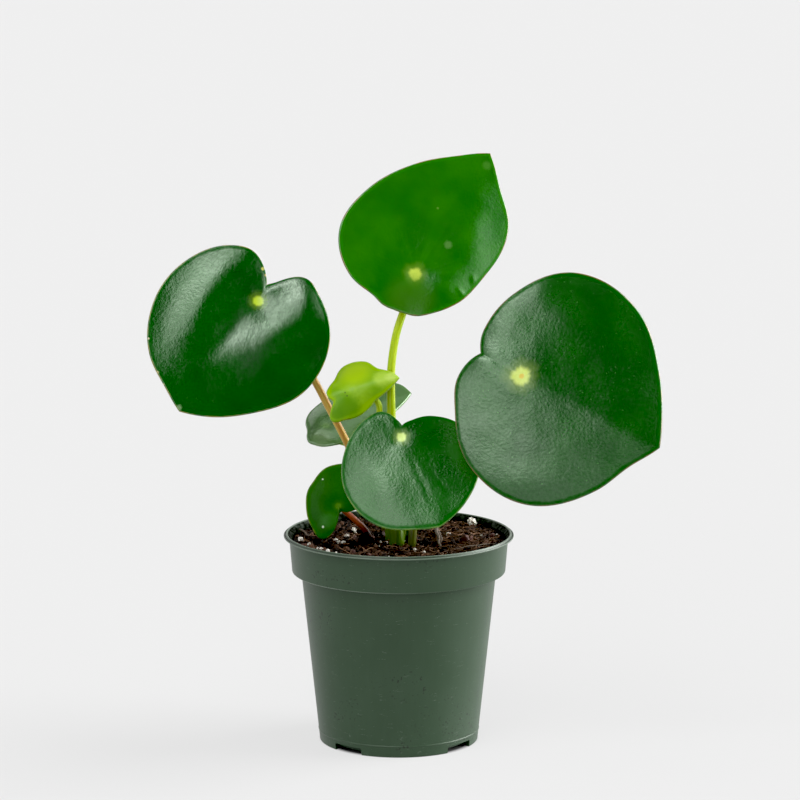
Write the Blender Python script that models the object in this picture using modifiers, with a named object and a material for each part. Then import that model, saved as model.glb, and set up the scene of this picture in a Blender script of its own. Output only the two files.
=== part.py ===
"""Potted peperomia: seven shield-shaped leaves on stems that stand in the soil of a grower's pot.

Metres, +Z up. The origin is on the pot's axis, on the surface that the pot stands on, and the front is towards -Y.
Driving dimensions are in millimetres and are turned into metres where the meshes are made.
"""

import math
from dataclasses import dataclass

import bmesh
import bpy
from mathutils import Vector, noise

MM = 0.001
CLEARANCE = 0.3

# Pot, a turned shell of blow-moulded plastic
RIM_RADIUS = 51.0
RIM_TOP = 93.6
LIP_HEIGHT = 1.4
LIP_ROUND = 0.4
COLLAR_TOP_RADIUS = 48.6
COLLAR_FOOT_RADIUS = 47.3
COLLAR_FOOT = 76.5
BODY_TOP_RADIUS = 43.3
BODY_FOOT_RADIUS = 35.2
STEP_ROUND = 0.5
WALL = 1.3
FLOOR_TOP = 2.0
FOOT_RING_WIDTH = 2.4
FLOOR_RECESS = 0.8
CENTRE_PAD_RADIUS = 20.0
PAD_SLOPE = 2.0
POT_SIDES = 56

# Drain notches at the foot, placed by their angle from the front, positive to the right
FIRST_NOTCH = 50.0
NOTCHES = 4
NOTCH_WIDTH = 15.0
NOTCH_HEIGHT = 3.2
NOTCH_INNER_RADIUS = 31.0

# Soil
SOIL_LEVEL = 90.8
SOIL_RINGS = 10
LUMP_SIZE = 8.0
LUMP_RISE = 1.5
CRUMB_SIZE = 3.6
CRUMB_RISE = 0.8
SOIL_SEED = 4.7
HOLE_DEPTH = 18.0
HOLE_SIDES = 14
CUTTER_SPARE = 6.0

# Leaf blades
BLADE_THICKNESS = 1.2
BLADE_RINGS = (0.22, 0.45, 0.68, 0.87, 1.0)
CREASE_ROUND = 2.5
DIMPLE_DEPTH = 0.8
DIMPLE_RADIUS = 5.0
# Shares of a side's sweep, from the tip (0) round to the notch (1), at which its radius is given
SWEEP = (0, 0.06, 0.16, 0.32, 0.5, 0.68, 0.82, 0.92, 1)

# Stems
STEM_SIDES_LEVEL = 2
POINTS_A_SPAN = 3
STEM_NECK = 4.0
TAPER_POWER = 3

PLASTIC = (0.045, 0.075, 0.050)
SOIL_BROWN = (0.030, 0.016, 0.009)
DARK_GREEN = (0.012, 0.085, 0.010)
BRIGHT_GREEN = (0.030, 0.190, 0.010)
LIME = (0.240, 0.450, 0.010)
GREY_GREEN = (0.090, 0.190, 0.090)
STEM_GREEN = (0.240, 0.380, 0.020)
STEM_TAN = (0.330, 0.240, 0.060)
STEM_RED = (0.250, 0.070, 0.030)


@dataclass
class Leaf:
    """One leaf: a blade held at a point inside its outline, and the stem that it stands on.

    at is that point, in mm. The upper face looks along facing, in degrees from the front, positive to the right,
    and rise, in degrees above the level. tip_turn swings the tip from straight down, counter-clockwise as seen
    from the front, and notch is the angle from the tip round the blade's left side to its notch. left and right
    are radii in mm at the shares of SWEEP. dome is how far the margin falls back, crease is the slope of the two
    halves beside the midrib, and droop is how far the tip falls back. folds are rays that stand up, each with its
    angle from the tip, its spread in degrees and its height at the margin. swells are soft humps, each with its
    place along and across the midrib, its half size along and across, and its height. route holds the stem's
    points in mm.
    """

    name: str
    at: tuple
    facing: float
    rise: float
    tip_turn: float
    notch: float
    left: tuple
    right: tuple
    dome: float
    crease: float
    wave: float
    waves: int
    wave_turn: float
    droop: float
    folds: tuple
    swells: tuple
    sectors: int
    colour: tuple
    stem_colour: tuple
    foot_radius: float
    top_radius: float
    route: tuple

    def axes(self):
        """Unit vectors: out of the upper face, along the midrib to the tip, and to the blade's left side."""
        facing, rise, turn = (math.radians(a) for a in (self.facing, self.rise, self.tip_turn))
        out = Vector((math.sin(facing) * math.cos(rise), -math.cos(facing) * math.cos(rise), math.sin(rise)))
        down = Vector((0, 0, -1))
        down = (down - down.dot(out) * out).normalized()
        tip = math.cos(turn) * down + math.sin(turn) * out.cross(down)
        return out, tip, out.cross(tip)


LEAVES = (
    Leaf(
        name="left", at=(-61.4, -6.0, 198.5), facing=7, rise=20, tip_turn=-37, notch=188,
        left=(60, 56, 50, 45, 36.5, 27.5, 22.5, 12, 8.5),
        right=(60, 56.5, 53.5, 45.5, 36, 28, 21.5, 14, 8.5),
        dome=1.5, crease=0.02, wave=0.9, waves=3, wave_turn=150, droop=1,
        folds=((-23, 24, 1.1), (167, 30, 0.6), (67, 30, -1.1), (-130, 30, 0.7)),
        swells=((-2, 17, 22, 9.5, 2), (8, -20, 24, 7.5, 2)), sectors=44,
        colour=DARK_GREEN, stem_colour=STEM_TAN, foot_radius=1.8, top_radius=1.6,
        route=((-6, 16, 93), (-8, 14.5, 100), (-15.5, 8, 116), (-23.7, 1.5, 135.5), (-29.9, 0, 148),
               (-36.9, -0.5, 161.7), (-48, 3, 179), (-57, 5, 190)),
    ),
    Leaf(
        name="top", at=(7.4, 2.0, 209.2), facing=11, rise=22, tip_turn=145, notch=180,
        left=(66, 58.5, 51, 44, 39, 29.5, 21.5, 20, 18.5),
        right=(66, 57, 49, 31.5, 23, 19, 18.5, 18, 18.5),
        dome=1.5, crease=0.01, wave=0.8, waves=3, wave_turn=46, droop=0,
        folds=((-4, 28, 0.6),), swells=(), sectors=44,
        colour=BRIGHT_GREEN, stem_colour=STEM_GREEN, foot_radius=4.2, top_radius=1.7,
        route=((-0.9, -9.5, 93), (-1.5, -9, 102), (-3, -7.2, 120), (-3.3, -4, 146), (-3, -2, 171), (-1, 0.5, 183),
               (2, 4, 192), (5.5, 7.5, 200.5)),
    ),
    Leaf(
        name="right", at=(52.5, -40.0, 171.1), facing=0, rise=14, tip_turn=63, notch=176,
        left=(67.5, 64, 60.5, 59, 52, 37, 28.5, 24, 20),
        right=(67.5, 61.5, 59, 55.5, 44.5, 32, 27.5, 23.5, 20),
        dome=4.9, crease=-0.08, wave=0.75, waves=3, wave_turn=123, droop=1,
        folds=((-25, 28, 0.3), (96, 28, 0.4)), swells=(), sectors=48,
        colour=DARK_GREEN, stem_colour=STEM_TAN, foot_radius=1.8, top_radius=1.8,
        route=((5.9, -15.5, 93), (6.8, -14.5, 102), (12, -12, 116), (22, -9, 132), (34, -9, 147), (43.5, -14, 158),
               (49.5, -23.5, 165.5)),
    ),
    Leaf(
        name="front", at=(1.2, -28.0, 142.3), facing=0, rise=29, tip_turn=22, notch=156,
        left=(44, 42.5, 40, 36, 28.5, 17, 9.5, 7, 5.5),
        right=(44, 42.5, 41.5, 35, 24.5, 18, 14.5, 8.5, 5.5),
        dome=0.5, crease=-0.09, wave=0.6, waves=3, wave_turn=13, droop=0.5,
        folds=((-27, 28, 0.9), (32, 28, 0.5)), swells=(), sectors=40,
        colour=DARK_GREEN, stem_colour=STEM_GREEN, foot_radius=1.4, top_radius=1.4,
        route=((1.5, -2.5, 93), (2.5, -3.5, 102), (4.2, -6.5, 116), (4, -10.5, 128), (2.2, -17, 135.5)),
    ),
    Leaf(
        name="low", at=(-26.4, -20.0, 109.8), facing=8, rise=16, tip_turn=-151, notch=189,
        left=(16.5, 15.5, 15, 14, 14.5, 15, 4.5, 3, 3),
        right=(16.5, 17.5, 18.5, 19.5, 17.5, 11.5, 6.5, 4.5, 3),
        dome=2, crease=-0.04, wave=0.5, waves=2, wave_turn=30, droop=0.5, folds=(), swells=(), sectors=32,
        colour=BRIGHT_GREEN, stem_colour=STEM_RED, foot_radius=1.4, top_radius=1.3,
        route=((-13, -6, 92.5), (-15.2, -7.4, 96.8), (-18.6, -9, 100.6), (-22.2, -10.6, 104.2), (-25.2, -11.6, 106.8)),
    ),
    Leaf(
        name="young", at=(-20.5, -12.0, 160.4), facing=-6, rise=32, tip_turn=108, notch=183,
        left=(21.5, 19.5, 16, 17, 15.5, 11, 11, 11.5, 11),
        right=(21.5, 17, 12, 10, 10.5, 12.5, 15.5, 10, 11),
        dome=1, crease=-0.6, wave=0.4, waves=2, wave_turn=0, droop=1, folds=(), swells=(), sectors=32,
        colour=LIME, stem_colour=STEM_GREEN, foot_radius=1.6, top_radius=1.4,
        route=((-4.5, 0, 93), (-5, 0, 106), (-6.6, -1, 125), (-8.4, -4.2, 146), (-9.2, -4.8, 153),
               (-13, -4, 156), (-18, -5.5, 156.5)),
    ),
    Leaf(
        name="back", at=(-32.6, 28.0, 137.2), facing=-8, rise=62, tip_turn=130, notch=174,
        left=(45.5, 45.5, 37.5, 24, 16.5, 11, 9, 9, 10),
        right=(45.5, 33.5, 22.5, 15.5, 12.5, 11, 10.5, 11, 10),
        dome=3, crease=-0.04, wave=0.8, waves=3, wave_turn=0, droop=1, folds=(), swells=(), sectors=36,
        colour=GREY_GREEN, stem_colour=STEM_GREEN, foot_radius=1.5, top_radius=1.4,
        route=((4.5, 4, 93), (3, 6, 103), (-3, 11, 113), (-12, 19, 121.5), (-21, 27, 127.5)),
    ),
)


def clear_scene():
    for obj in list(bpy.data.objects):
        bpy.data.objects.remove(obj)


def new_collection(name):
    collection = bpy.data.collections.new(name)
    bpy.context.scene.collection.children.link(collection)
    return collection


def material(name, colour, roughness):
    made = bpy.data.materials.get(name) or bpy.data.materials.new(name)
    made.use_nodes = True
    shader = made.node_tree.nodes["Principled BSDF"]
    shader.inputs["Base Color"].default_value = (*colour, 1)
    shader.inputs["Roughness"].default_value = roughness
    shader.inputs["Metallic"].default_value = 0
    return made


def add_object(name, data, collection, finish=None):
    obj = bpy.data.objects.new(name, data)
    collection.objects.link(obj)
    if finish:
        data.materials.append(finish)
    return obj


def add_bmesh(name, bm, collection, finish=None):
    mesh = bpy.data.meshes.new(name)
    bm.to_mesh(mesh)
    bm.free()
    return add_object(name, mesh, collection, finish)


def plain_mesh(obj, collection):
    """Replaces an object by a mesh object of its evaluated shape."""
    graph = bpy.context.evaluated_depsgraph_get()
    mesh = bpy.data.meshes.new_from_object(obj.evaluated_get(graph))
    name = obj.name
    bpy.data.objects.remove(obj)
    mesh.name = name
    return add_object(name, mesh, collection)


def make_cutter(obj):
    obj.hide_render = True
    obj.display_type = "WIRE"
    return obj


def cut(obj, cutters):
    boolean = obj.modifiers.new("cut", "BOOLEAN")
    boolean.operation = "DIFFERENCE"
    boolean.operand_type = "COLLECTION"
    boolean.collection = cutters
    boolean.solver = "EXACT"


def turned(name, profile, sides, collection):
    """A profile of (radius, height) points in mm, outer side first from the top, turned about Z."""
    bm = bmesh.new()
    verts = [bm.verts.new((radius * MM, 0, height * MM)) for radius, height in profile]
    for first, second in zip(verts, verts[1:]):
        bm.edges.new((first, second))
    if profile[0][0] > 0:
        bm.edges.new((verts[-1], verts[0]))
    obj = add_bmesh(name, bm, collection)
    screw = obj.modifiers.new("turn", "SCREW")
    screw.axis = "Z"
    screw.steps = sides
    screw.render_steps = sides
    screw.use_merge_vertices = True
    screw.merge_threshold = 0.00001
    return obj


def pot_inner_profile():
    """The inside of the wall, from the mouth down to the floor's edge."""
    return [
        (COLLAR_TOP_RADIUS - WALL, RIM_TOP - LIP_HEIGHT),
        (COLLAR_FOOT_RADIUS - WALL, COLLAR_FOOT + WALL + STEP_ROUND),
        (COLLAR_FOOT_RADIUS - WALL - STEP_ROUND, COLLAR_FOOT + WALL),
        (BODY_TOP_RADIUS - WALL + STEP_ROUND, COLLAR_FOOT + WALL),
        (BODY_TOP_RADIUS - WALL, COLLAR_FOOT + WALL - STEP_ROUND),
        (BODY_FOOT_RADIUS - WALL + STEP_ROUND, FLOOR_TOP + STEP_ROUND),
    ]


def make_pot(collection, cutters):
    foot_inside = BODY_FOOT_RADIUS - FOOT_RING_WIDTH
    mouth = [
        (COLLAR_TOP_RADIUS - WALL + LIP_ROUND, RIM_TOP),
        (RIM_RADIUS - LIP_ROUND, RIM_TOP),
        (RIM_RADIUS, RIM_TOP - LIP_ROUND),
        (RIM_RADIUS, RIM_TOP - LIP_HEIGHT + LIP_ROUND),
        (RIM_RADIUS - LIP_ROUND, RIM_TOP - LIP_HEIGHT),
        (COLLAR_TOP_RADIUS, RIM_TOP - LIP_HEIGHT),
    ]
    outside = [
        (COLLAR_FOOT_RADIUS, COLLAR_FOOT + STEP_ROUND),
        (COLLAR_FOOT_RADIUS - STEP_ROUND, COLLAR_FOOT),
        (BODY_TOP_RADIUS + STEP_ROUND, COLLAR_FOOT),
        (BODY_TOP_RADIUS, COLLAR_FOOT - STEP_ROUND),
        (BODY_FOOT_RADIUS, LIP_ROUND),
        (BODY_FOOT_RADIUS - LIP_ROUND, 0),
    ]
    underside = [
        (foot_inside, 0),
        (foot_inside, FLOOR_RECESS),
        (CENTRE_PAD_RADIUS + PAD_SLOPE, FLOOR_RECESS),
        (CENTRE_PAD_RADIUS, 0),
        (0, 0),
    ]
    inside = [(0, FLOOR_TOP), (BODY_FOOT_RADIUS - WALL, FLOOR_TOP)] + pot_inner_profile()[::-1]
    pot = turned("pot", mouth + outside + underside + inside, POT_SIDES, collection)
    pot = plain_mesh(pot, collection)
    pot.data.materials.append(material("pot plastic", PLASTIC, 0.45))
    pot.data.shade_smooth()
    pot.data.set_sharp_from_angle(angle=math.radians(35))
    for number in range(NOTCHES):
        angle = math.radians(FIRST_NOTCH + number * 360 / NOTCHES - 90)
        add_notch_cutter(f"notch_cutter_{number}", angle, cutters)
    cut(pot, cutters)
    return pot


def add_notch_cutter(name, angle, cutters):
    """A block that cuts one drain notch through the foot of the wall and the edge of the floor."""
    depth = BODY_FOOT_RADIUS + CUTTER_SPARE - NOTCH_INNER_RADIUS
    height = NOTCH_HEIGHT + CUTTER_SPARE
    bm = bmesh.new()
    bmesh.ops.create_cube(bm, size=1)
    bmesh.ops.scale(bm, vec=(depth * MM, NOTCH_WIDTH * MM, height * MM), verts=bm.verts)
    obj = make_cutter(add_bmesh(name, bm, cutters))
    middle = (NOTCH_INNER_RADIUS + depth / 2) * MM
    obj.location = (middle * math.cos(angle), middle * math.sin(angle), (NOTCH_HEIGHT - height / 2) * MM)
    obj.rotation_euler = (0, 0, angle)


def lumps(x, y):
    """Height of the soil's surface over its level, in mm, at a point in mm."""
    coarse = noise.noise(Vector((x / LUMP_SIZE, y / LUMP_SIZE, SOIL_SEED)))
    fine = noise.noise(Vector((x / CRUMB_SIZE, y / CRUMB_SIZE, 2 * SOIL_SEED)))
    return LUMP_RISE * coarse + CRUMB_RISE * fine


def make_soil(collection, cutters):
    """The potting mix: it fills the pot to just inside its wall, and its top is raised by the lumps formula."""
    wall = [(radius - CLEARANCE, height + CLEARANCE) for radius, height in pot_inner_profile()[1:]]
    edge = COLLAR_TOP_RADIUS - WALL - 2 * CLEARANCE
    top = [(edge * ring / SOIL_RINGS, SOIL_LEVEL) for ring in range(SOIL_RINGS + 1)]
    soil = turned("soil", top + wall + [(0, FLOOR_TOP + CLEARANCE)], POT_SIDES, collection)
    soil = plain_mesh(soil, collection)
    soil.data.materials.append(material("potting mix", SOIL_BROWN, 0.95))
    for vert in soil.data.vertices:
        if vert.co.z > (SOIL_LEVEL - CLEARANCE) * MM:
            x, y = vert.co.x / MM, vert.co.y / MM
            fade = min(1, 2 * (1 - math.hypot(x, y) / edge))
            vert.co.z += lumps(x, y) * fade * MM
    for leaf in LEAVES:
        add_hole_cutter(leaf, cutters)
    cut(soil, cutters)
    return soil


def add_hole_cutter(leaf, cutters):
    x, y, _ = leaf.route[0]
    depth = HOLE_DEPTH + CUTTER_SPARE
    radius = (leaf.foot_radius + CLEARANCE) * MM
    bm = bmesh.new()
    bmesh.ops.create_cone(
        bm, cap_ends=True, segments=HOLE_SIDES, radius1=radius, radius2=radius, depth=depth * MM
    )
    obj = make_cutter(add_bmesh(f"hole_cutter_{leaf.name}", bm, cutters))
    obj.location = (x * MM, y * MM, (SOIL_LEVEL + CUTTER_SPARE - depth / 2) * MM)


def slopes(places, values):
    """Slope of a smooth curve at each of its points, from the points beside it."""
    steps = [(b - a) / (y - x) for x, y, a, b in zip(places, places[1:], values, values[1:])]
    found = [steps[0]]
    for i in range(1, len(places) - 1):
        before = places[i] - places[i - 1]
        after = places[i + 1] - places[i]
        found.append((steps[i - 1] * after + steps[i] * before) / (before + after))
    return found + [steps[-1]]


def smooth_value(places, values, place):
    """The value at a place on the smooth curve through the points. Values are numbers or vectors."""
    i = 0
    while i < len(places) - 2 and place > places[i + 1]:
        i += 1
    span = places[i + 1] - places[i]
    t = (place - places[i]) / span
    slope = slopes(places, values)
    start = (2 * t**3 - 3 * t**2 + 1) * values[i] + (t**3 - 2 * t**2 + t) * span * slope[i]
    end = (3 * t**2 - 2 * t**3) * values[i + 1] + (t**3 - t**2) * span * slope[i + 1]
    return start + end


def blade_height(leaf, radius, angle, edge):
    """Height of the upper face over the plane through the leaf's holding point, in mm."""
    along, across = radius * math.cos(angle), radius * math.sin(angle)
    share = radius / edge
    height = -leaf.dome * share**2
    height += leaf.crease * (math.hypot(across, CREASE_ROUND) - CREASE_ROUND)
    height += leaf.wave * share**3 * math.sin(leaf.waves * angle + math.radians(leaf.wave_turn))
    height -= leaf.droop * (max(0, along) / leaf.left[0]) ** 3
    for bearing, spread, rise in leaf.folds:
        off = (math.degrees(angle) - bearing + 180) % 360 - 180
        height += rise * share * math.exp(-((off / spread) ** 2))
    for place_along, place_across, half_along, half_across, rise in leaf.swells:
        off = ((along - place_along) / half_along) ** 2 + ((across - place_across) / half_across) ** 2
        height += rise * math.exp(-off)
    return height - DIMPLE_DEPTH * math.exp(-((radius / DIMPLE_RADIUS) ** 2))


def blade_point(leaf, share, turn):
    """A point of the upper face in mm: share of the way to the margin, turn from the tip in radians."""
    on_left = turn <= math.pi
    sweep = turn / math.pi if on_left else 2 - turn / math.pi
    notch = math.radians(leaf.notch)
    angle = sweep * notch if on_left else -sweep * (2 * math.pi - notch)
    edge = smooth_value(SWEEP, leaf.left if on_left else leaf.right, sweep)
    radius = share * edge
    out, tip, side = leaf.axes()
    flat = tip * (radius * math.cos(angle)) + side * (radius * math.sin(angle))
    return Vector(leaf.at) + flat + out * blade_height(leaf, radius, angle, edge)


def make_blade(leaf, collection):
    """A spun unit disc laid over the leaf's outline and height, in triangles, with its thickness behind it."""
    bm = bmesh.new()
    chain = [bm.verts.new((share, 0, 0)) for share in (0, *BLADE_RINGS)]
    edges = [bm.edges.new(pair) for pair in zip(chain, chain[1:])]
    bmesh.ops.spin(
        bm, geom=chain + edges, cent=(0, 0, 0), axis=(0, 0, 1), angle=2 * math.pi,
        steps=leaf.sectors, use_merge=True,
    )
    bmesh.ops.remove_doubles(bm, verts=bm.verts, dist=0.001)
    bmesh.ops.triangulate(bm, faces=bm.faces)
    for face in bm.faces:
        if face.normal.z < 0:
            face.normal_flip()
    for vert in bm.verts:
        share = vert.co.xy.length
        turn = math.atan2(vert.co.y, vert.co.x) % (2 * math.pi)
        vert.co = blade_point(leaf, share, turn) * MM
    finish = material(f"blade {leaf.name}", leaf.colour, 0.3)
    blade = add_bmesh(f"leaf_{leaf.name}", bm, collection, finish)
    blade.data.shade_smooth()
    solidify = blade.modifiers.new("thickness", "SOLIDIFY")
    solidify.thickness = BLADE_THICKNESS * MM
    solidify.offset = -1
    solidify.use_even_offset = False
    return blade


def stem_route(leaf):
    """The stem's points in mm: straight up out of its hole, along the route, and square on to the blade's back."""
    out = leaf.axes()[0]
    x, y, _ = leaf.route[0]
    foot = Vector((x, y, SOIL_LEVEL - HOLE_DEPTH + CLEARANCE))
    mouth = Vector((x, y, SOIL_LEVEL - LUMP_RISE))
    seat = Vector(leaf.at) - out * (DIMPLE_DEPTH + BLADE_THICKNESS + CLEARANCE)
    neck = seat - out * STEM_NECK
    return [foot, mouth] + [Vector(point) for point in leaf.route] + [neck, seat]


def make_stem(leaf, collection):
    points = stem_route(leaf)
    places = [0]
    for before, after in zip(points, points[1:]):
        places.append(places[-1] + (after - before).length)
    count = POINTS_A_SPAN * len(points)
    curve = bpy.data.curves.new(f"stem_{leaf.name}", "CURVE")
    curve.dimensions = "3D"
    curve.bevel_depth = MM
    curve.bevel_resolution = STEM_SIDES_LEVEL
    curve.use_fill_caps = True
    spline = curve.splines.new("POLY")
    spline.points.add(count - 1)
    for i, point in enumerate(spline.points):
        share = i / (count - 1)
        point.co = (*(smooth_value(places, points, share * places[-1]) * MM), 1)
        point.radius = leaf.top_radius + (leaf.foot_radius - leaf.top_radius) * (1 - share) ** TAPER_POWER
    finish = material(f"stem {leaf.name}", leaf.stem_colour, 0.4)
    return add_object(f"stem_{leaf.name}", curve, collection, finish)


def main():
    clear_scene()
    plant = new_collection("potted peperomia")
    make_pot(plant, new_collection("notch cutters"))
    make_soil(plant, new_collection("hole cutters"))
    for leaf in LEAVES:
        make_blade(leaf, plant)
        make_stem(leaf, plant)


main()
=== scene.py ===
"""Dresses the potted peperomia: finely shaped leaves, stems, potting mix and pot in a plain pale studio.

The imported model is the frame. Sizes are in millimetres and become metres where meshes are made. +Z is up, the
front is towards -Y, and the origin is on the pot's axis at the surface that the pot stands on.
"""

import math
from dataclasses import dataclass

import bmesh
import bpy
from bpy.props import FloatProperty, FloatVectorProperty, IntProperty, PointerProperty
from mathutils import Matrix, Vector, noise


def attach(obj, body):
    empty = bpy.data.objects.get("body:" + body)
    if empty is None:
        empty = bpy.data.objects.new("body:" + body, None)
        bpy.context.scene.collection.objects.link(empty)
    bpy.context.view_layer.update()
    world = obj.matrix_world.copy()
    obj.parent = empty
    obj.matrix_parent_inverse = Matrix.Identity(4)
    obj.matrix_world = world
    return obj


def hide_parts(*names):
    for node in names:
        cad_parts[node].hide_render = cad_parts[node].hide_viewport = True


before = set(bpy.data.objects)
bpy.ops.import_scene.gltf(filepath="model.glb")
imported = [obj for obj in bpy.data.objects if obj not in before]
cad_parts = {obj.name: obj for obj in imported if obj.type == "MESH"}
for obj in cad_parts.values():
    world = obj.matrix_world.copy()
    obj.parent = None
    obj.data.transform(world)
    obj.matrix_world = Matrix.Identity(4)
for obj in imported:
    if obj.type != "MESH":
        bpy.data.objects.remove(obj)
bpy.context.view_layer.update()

bl_info = {
    "name": "Potted Peperomia",
    "version": (1, 0, 0),
    "blender": (4, 5, 0),
    "location": "3D View > Sidebar > Peperomia",
    "description": "Dresses a packed potted peperomia with fine leaves, stems, potting mix and pot",
    "category": "Add Mesh",
}

MM = 0.001
FULL_TURN = 2 * math.pi

# Pot
RIM_RADIUS = 51.0
RIM_TOP = 93.6
LIP_HEIGHT = 1.4
COLLAR_TOP_RADIUS = 48.6
COLLAR_FOOT_RADIUS = 47.3
COLLAR_FOOT = 76.5
BODY_TOP_RADIUS = 43.3
BODY_FOOT_RADIUS = 35.2
STEP_ROUND = 0.5
WALL = 1.3
FLOOR_TOP = 2.0
FOOT_RING_WIDTH = 2.4
FLOOR_RECESS = 0.8
CENTRE_PAD_RADIUS = 20.0
PAD_SLOPE = 2.0
POT_SIDES = 192
ROUND_STEPS = 5
BEAD_HEIGHT = 5.0
BEAD_WIDTH = 0.5
BEAD_RISE = 0.18
FIRST_NOTCH = 50.0
NOTCHES = 4
NOTCH_WIDTH = 15.0
NOTCH_HEIGHT = 3.2
NOTCH_INNER_RADIUS = 31.0
CUTTER_SPARE = 6.0
MOUTH_FOOT = 91.3
MOUTH_RADIUS = 49.5
RIDGE_RADIUS = 49.9
GROOVE_RADIUS = 50.25
GROOVE_DEPTH = 0.9
OUTER_RIDGE_DROP = 0.55
EDGE_ROUND = 0.3
FINE_ROUND = 0.15
NOTCH_ROUND = 0.8
SHARP_ANGLE = 40.0
PLASTIC_TINT = (0.92, 1.0, 0.92)
SPECK_COLOUR = (0.006, 0.006, 0.005)
# Near black of the painted shade in the lip's groove
GROOVE_SHADE_COLOUR = (0.004, 0.005, 0.004)
# Near black of the painted shade over the pot's inner wall, with some dirt
WALL_SHADE_AND_DIRT_COLOUR = (0.006, 0.007, 0.005)

# Potting mix
CLEARANCE = 0.3
SOIL_LEVEL = 90.8
LUMP_SIZE = 8.0
LUMP_RISE = 1.5
CRUMB_SIZE = 3.6
CRUMB_RISE = 0.8
GRIT_SIZE = 1.7
GRIT_RISE = 0.7
DUST_SIZE = GRIT_SIZE / 2.3
DUST_RISE = 0.35
BED_DROP = 0.3
SOIL_SEED = 4.7
SOIL_RINGS = 110
SOIL_SIDES = 256
HOLE_DEPTH = 18.0
BED_RADIUS = 46.9
BED_FOOT_RADIUS = 45.6
BED_FOOT = COLLAR_FOOT + 3
SCATTER_RINGS = 40
SCATTER_SIDES = 96
GRAIN_WIDTH = 0.8
FIBRE_POINTS = 10
FIBRE_WAVES = 180.0
THIN_SHARE = 0.12
# Near black of the painted shade on the potting mix
SOIL_SHADE_COLOUR = (0.0008, 0.0006, 0.0006)
PERLITE_COLOURS = ((0.42, 0.37, 0.31), (0.83, 0.81, 0.77))
PERLITE_DIRT_COLOUR = (0.16, 0.11, 0.07)

# Leaves
BLADE_THICKNESS = 1.2
CREASE_ROUND = 2.5
DIMPLE_DEPTH = 0.8
DIMPLE_RADIUS = 5.0
SWEEP = (0, 0.06, 0.16, 0.32, 0.5, 0.68, 0.82, 0.92, 1)
BLADE_SECTORS = 240
FACE_RINGS = 46
RIM_STEPS = 8
UNDER_RINGS = 24
RIPPLE_SIZE = 9.0
FINE_RIPPLE = 3.1
CALM_RADIUS = 7.0
CALM_FADE = 6.0
VEIN_REACH = 60.0
VEIN_WIDTH = 1.1
VEIN_START = 8.0
BLADE_MEASURES = ("along", "across", "inset", "upper")
SHEEN_TINT = (0.80, 1.0, 0.78)
POLISH_ROUGHNESS = 0.26
FLECK_COLOUR = (0.10, 0.20, 0.07)
UNDER_RAY_COLOUR = (0.30, 0.42, 0.16)

# Stems
STEM_NECK = 4.0
TAPER_POWER = 3
# Share of each channel of a stem's colour kept at its foot, where painted shade darkens it
FOOT_PAINTED_SHADE = (0.07, 0.15, 0.10)
STEM_SIDES = 28
STEM_STEP = 0.8
ROUTE_STEPS = 10
TWIG_STEPS = 24
TWIG_BEND = 0.8
TWIG_LAYERS = (0.5, 1.5, 2.5)
TWIG_COLOURS = ((0.030, 0.022, 0.016), (0.130, 0.100, 0.072))

# Lights: sides in degrees from the front, positive to the right, and heights in degrees above the level
PANELS = (("wall", -35, 0), ("wall_end", -120, -35), ("side", 43, 75), ("side_end", 75, 125))
ALL_PANELS = (-120, 125)
LAMP_SIDES = (-57, -5)
LAMP_FOOT = 48
LAMP_TOP = 70
REST_LIGHT = 0.05
FLOOR_HALF = 12
WHITE = (1.0, 1.0, 1.0)
BLACK = (0.0, 0.0, 0.0)

# Camera, found from the ellipses of the pot's rim and foot
CAMERA_PLACE = (0.00055, -1.8, 0.4864)
CAMERA_PITCH = 10.485
SENSOR_WIDTH = 36.0
CAMERA_LENS = 186.92
CAMERA_RANGE = (0.05, 60)


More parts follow.
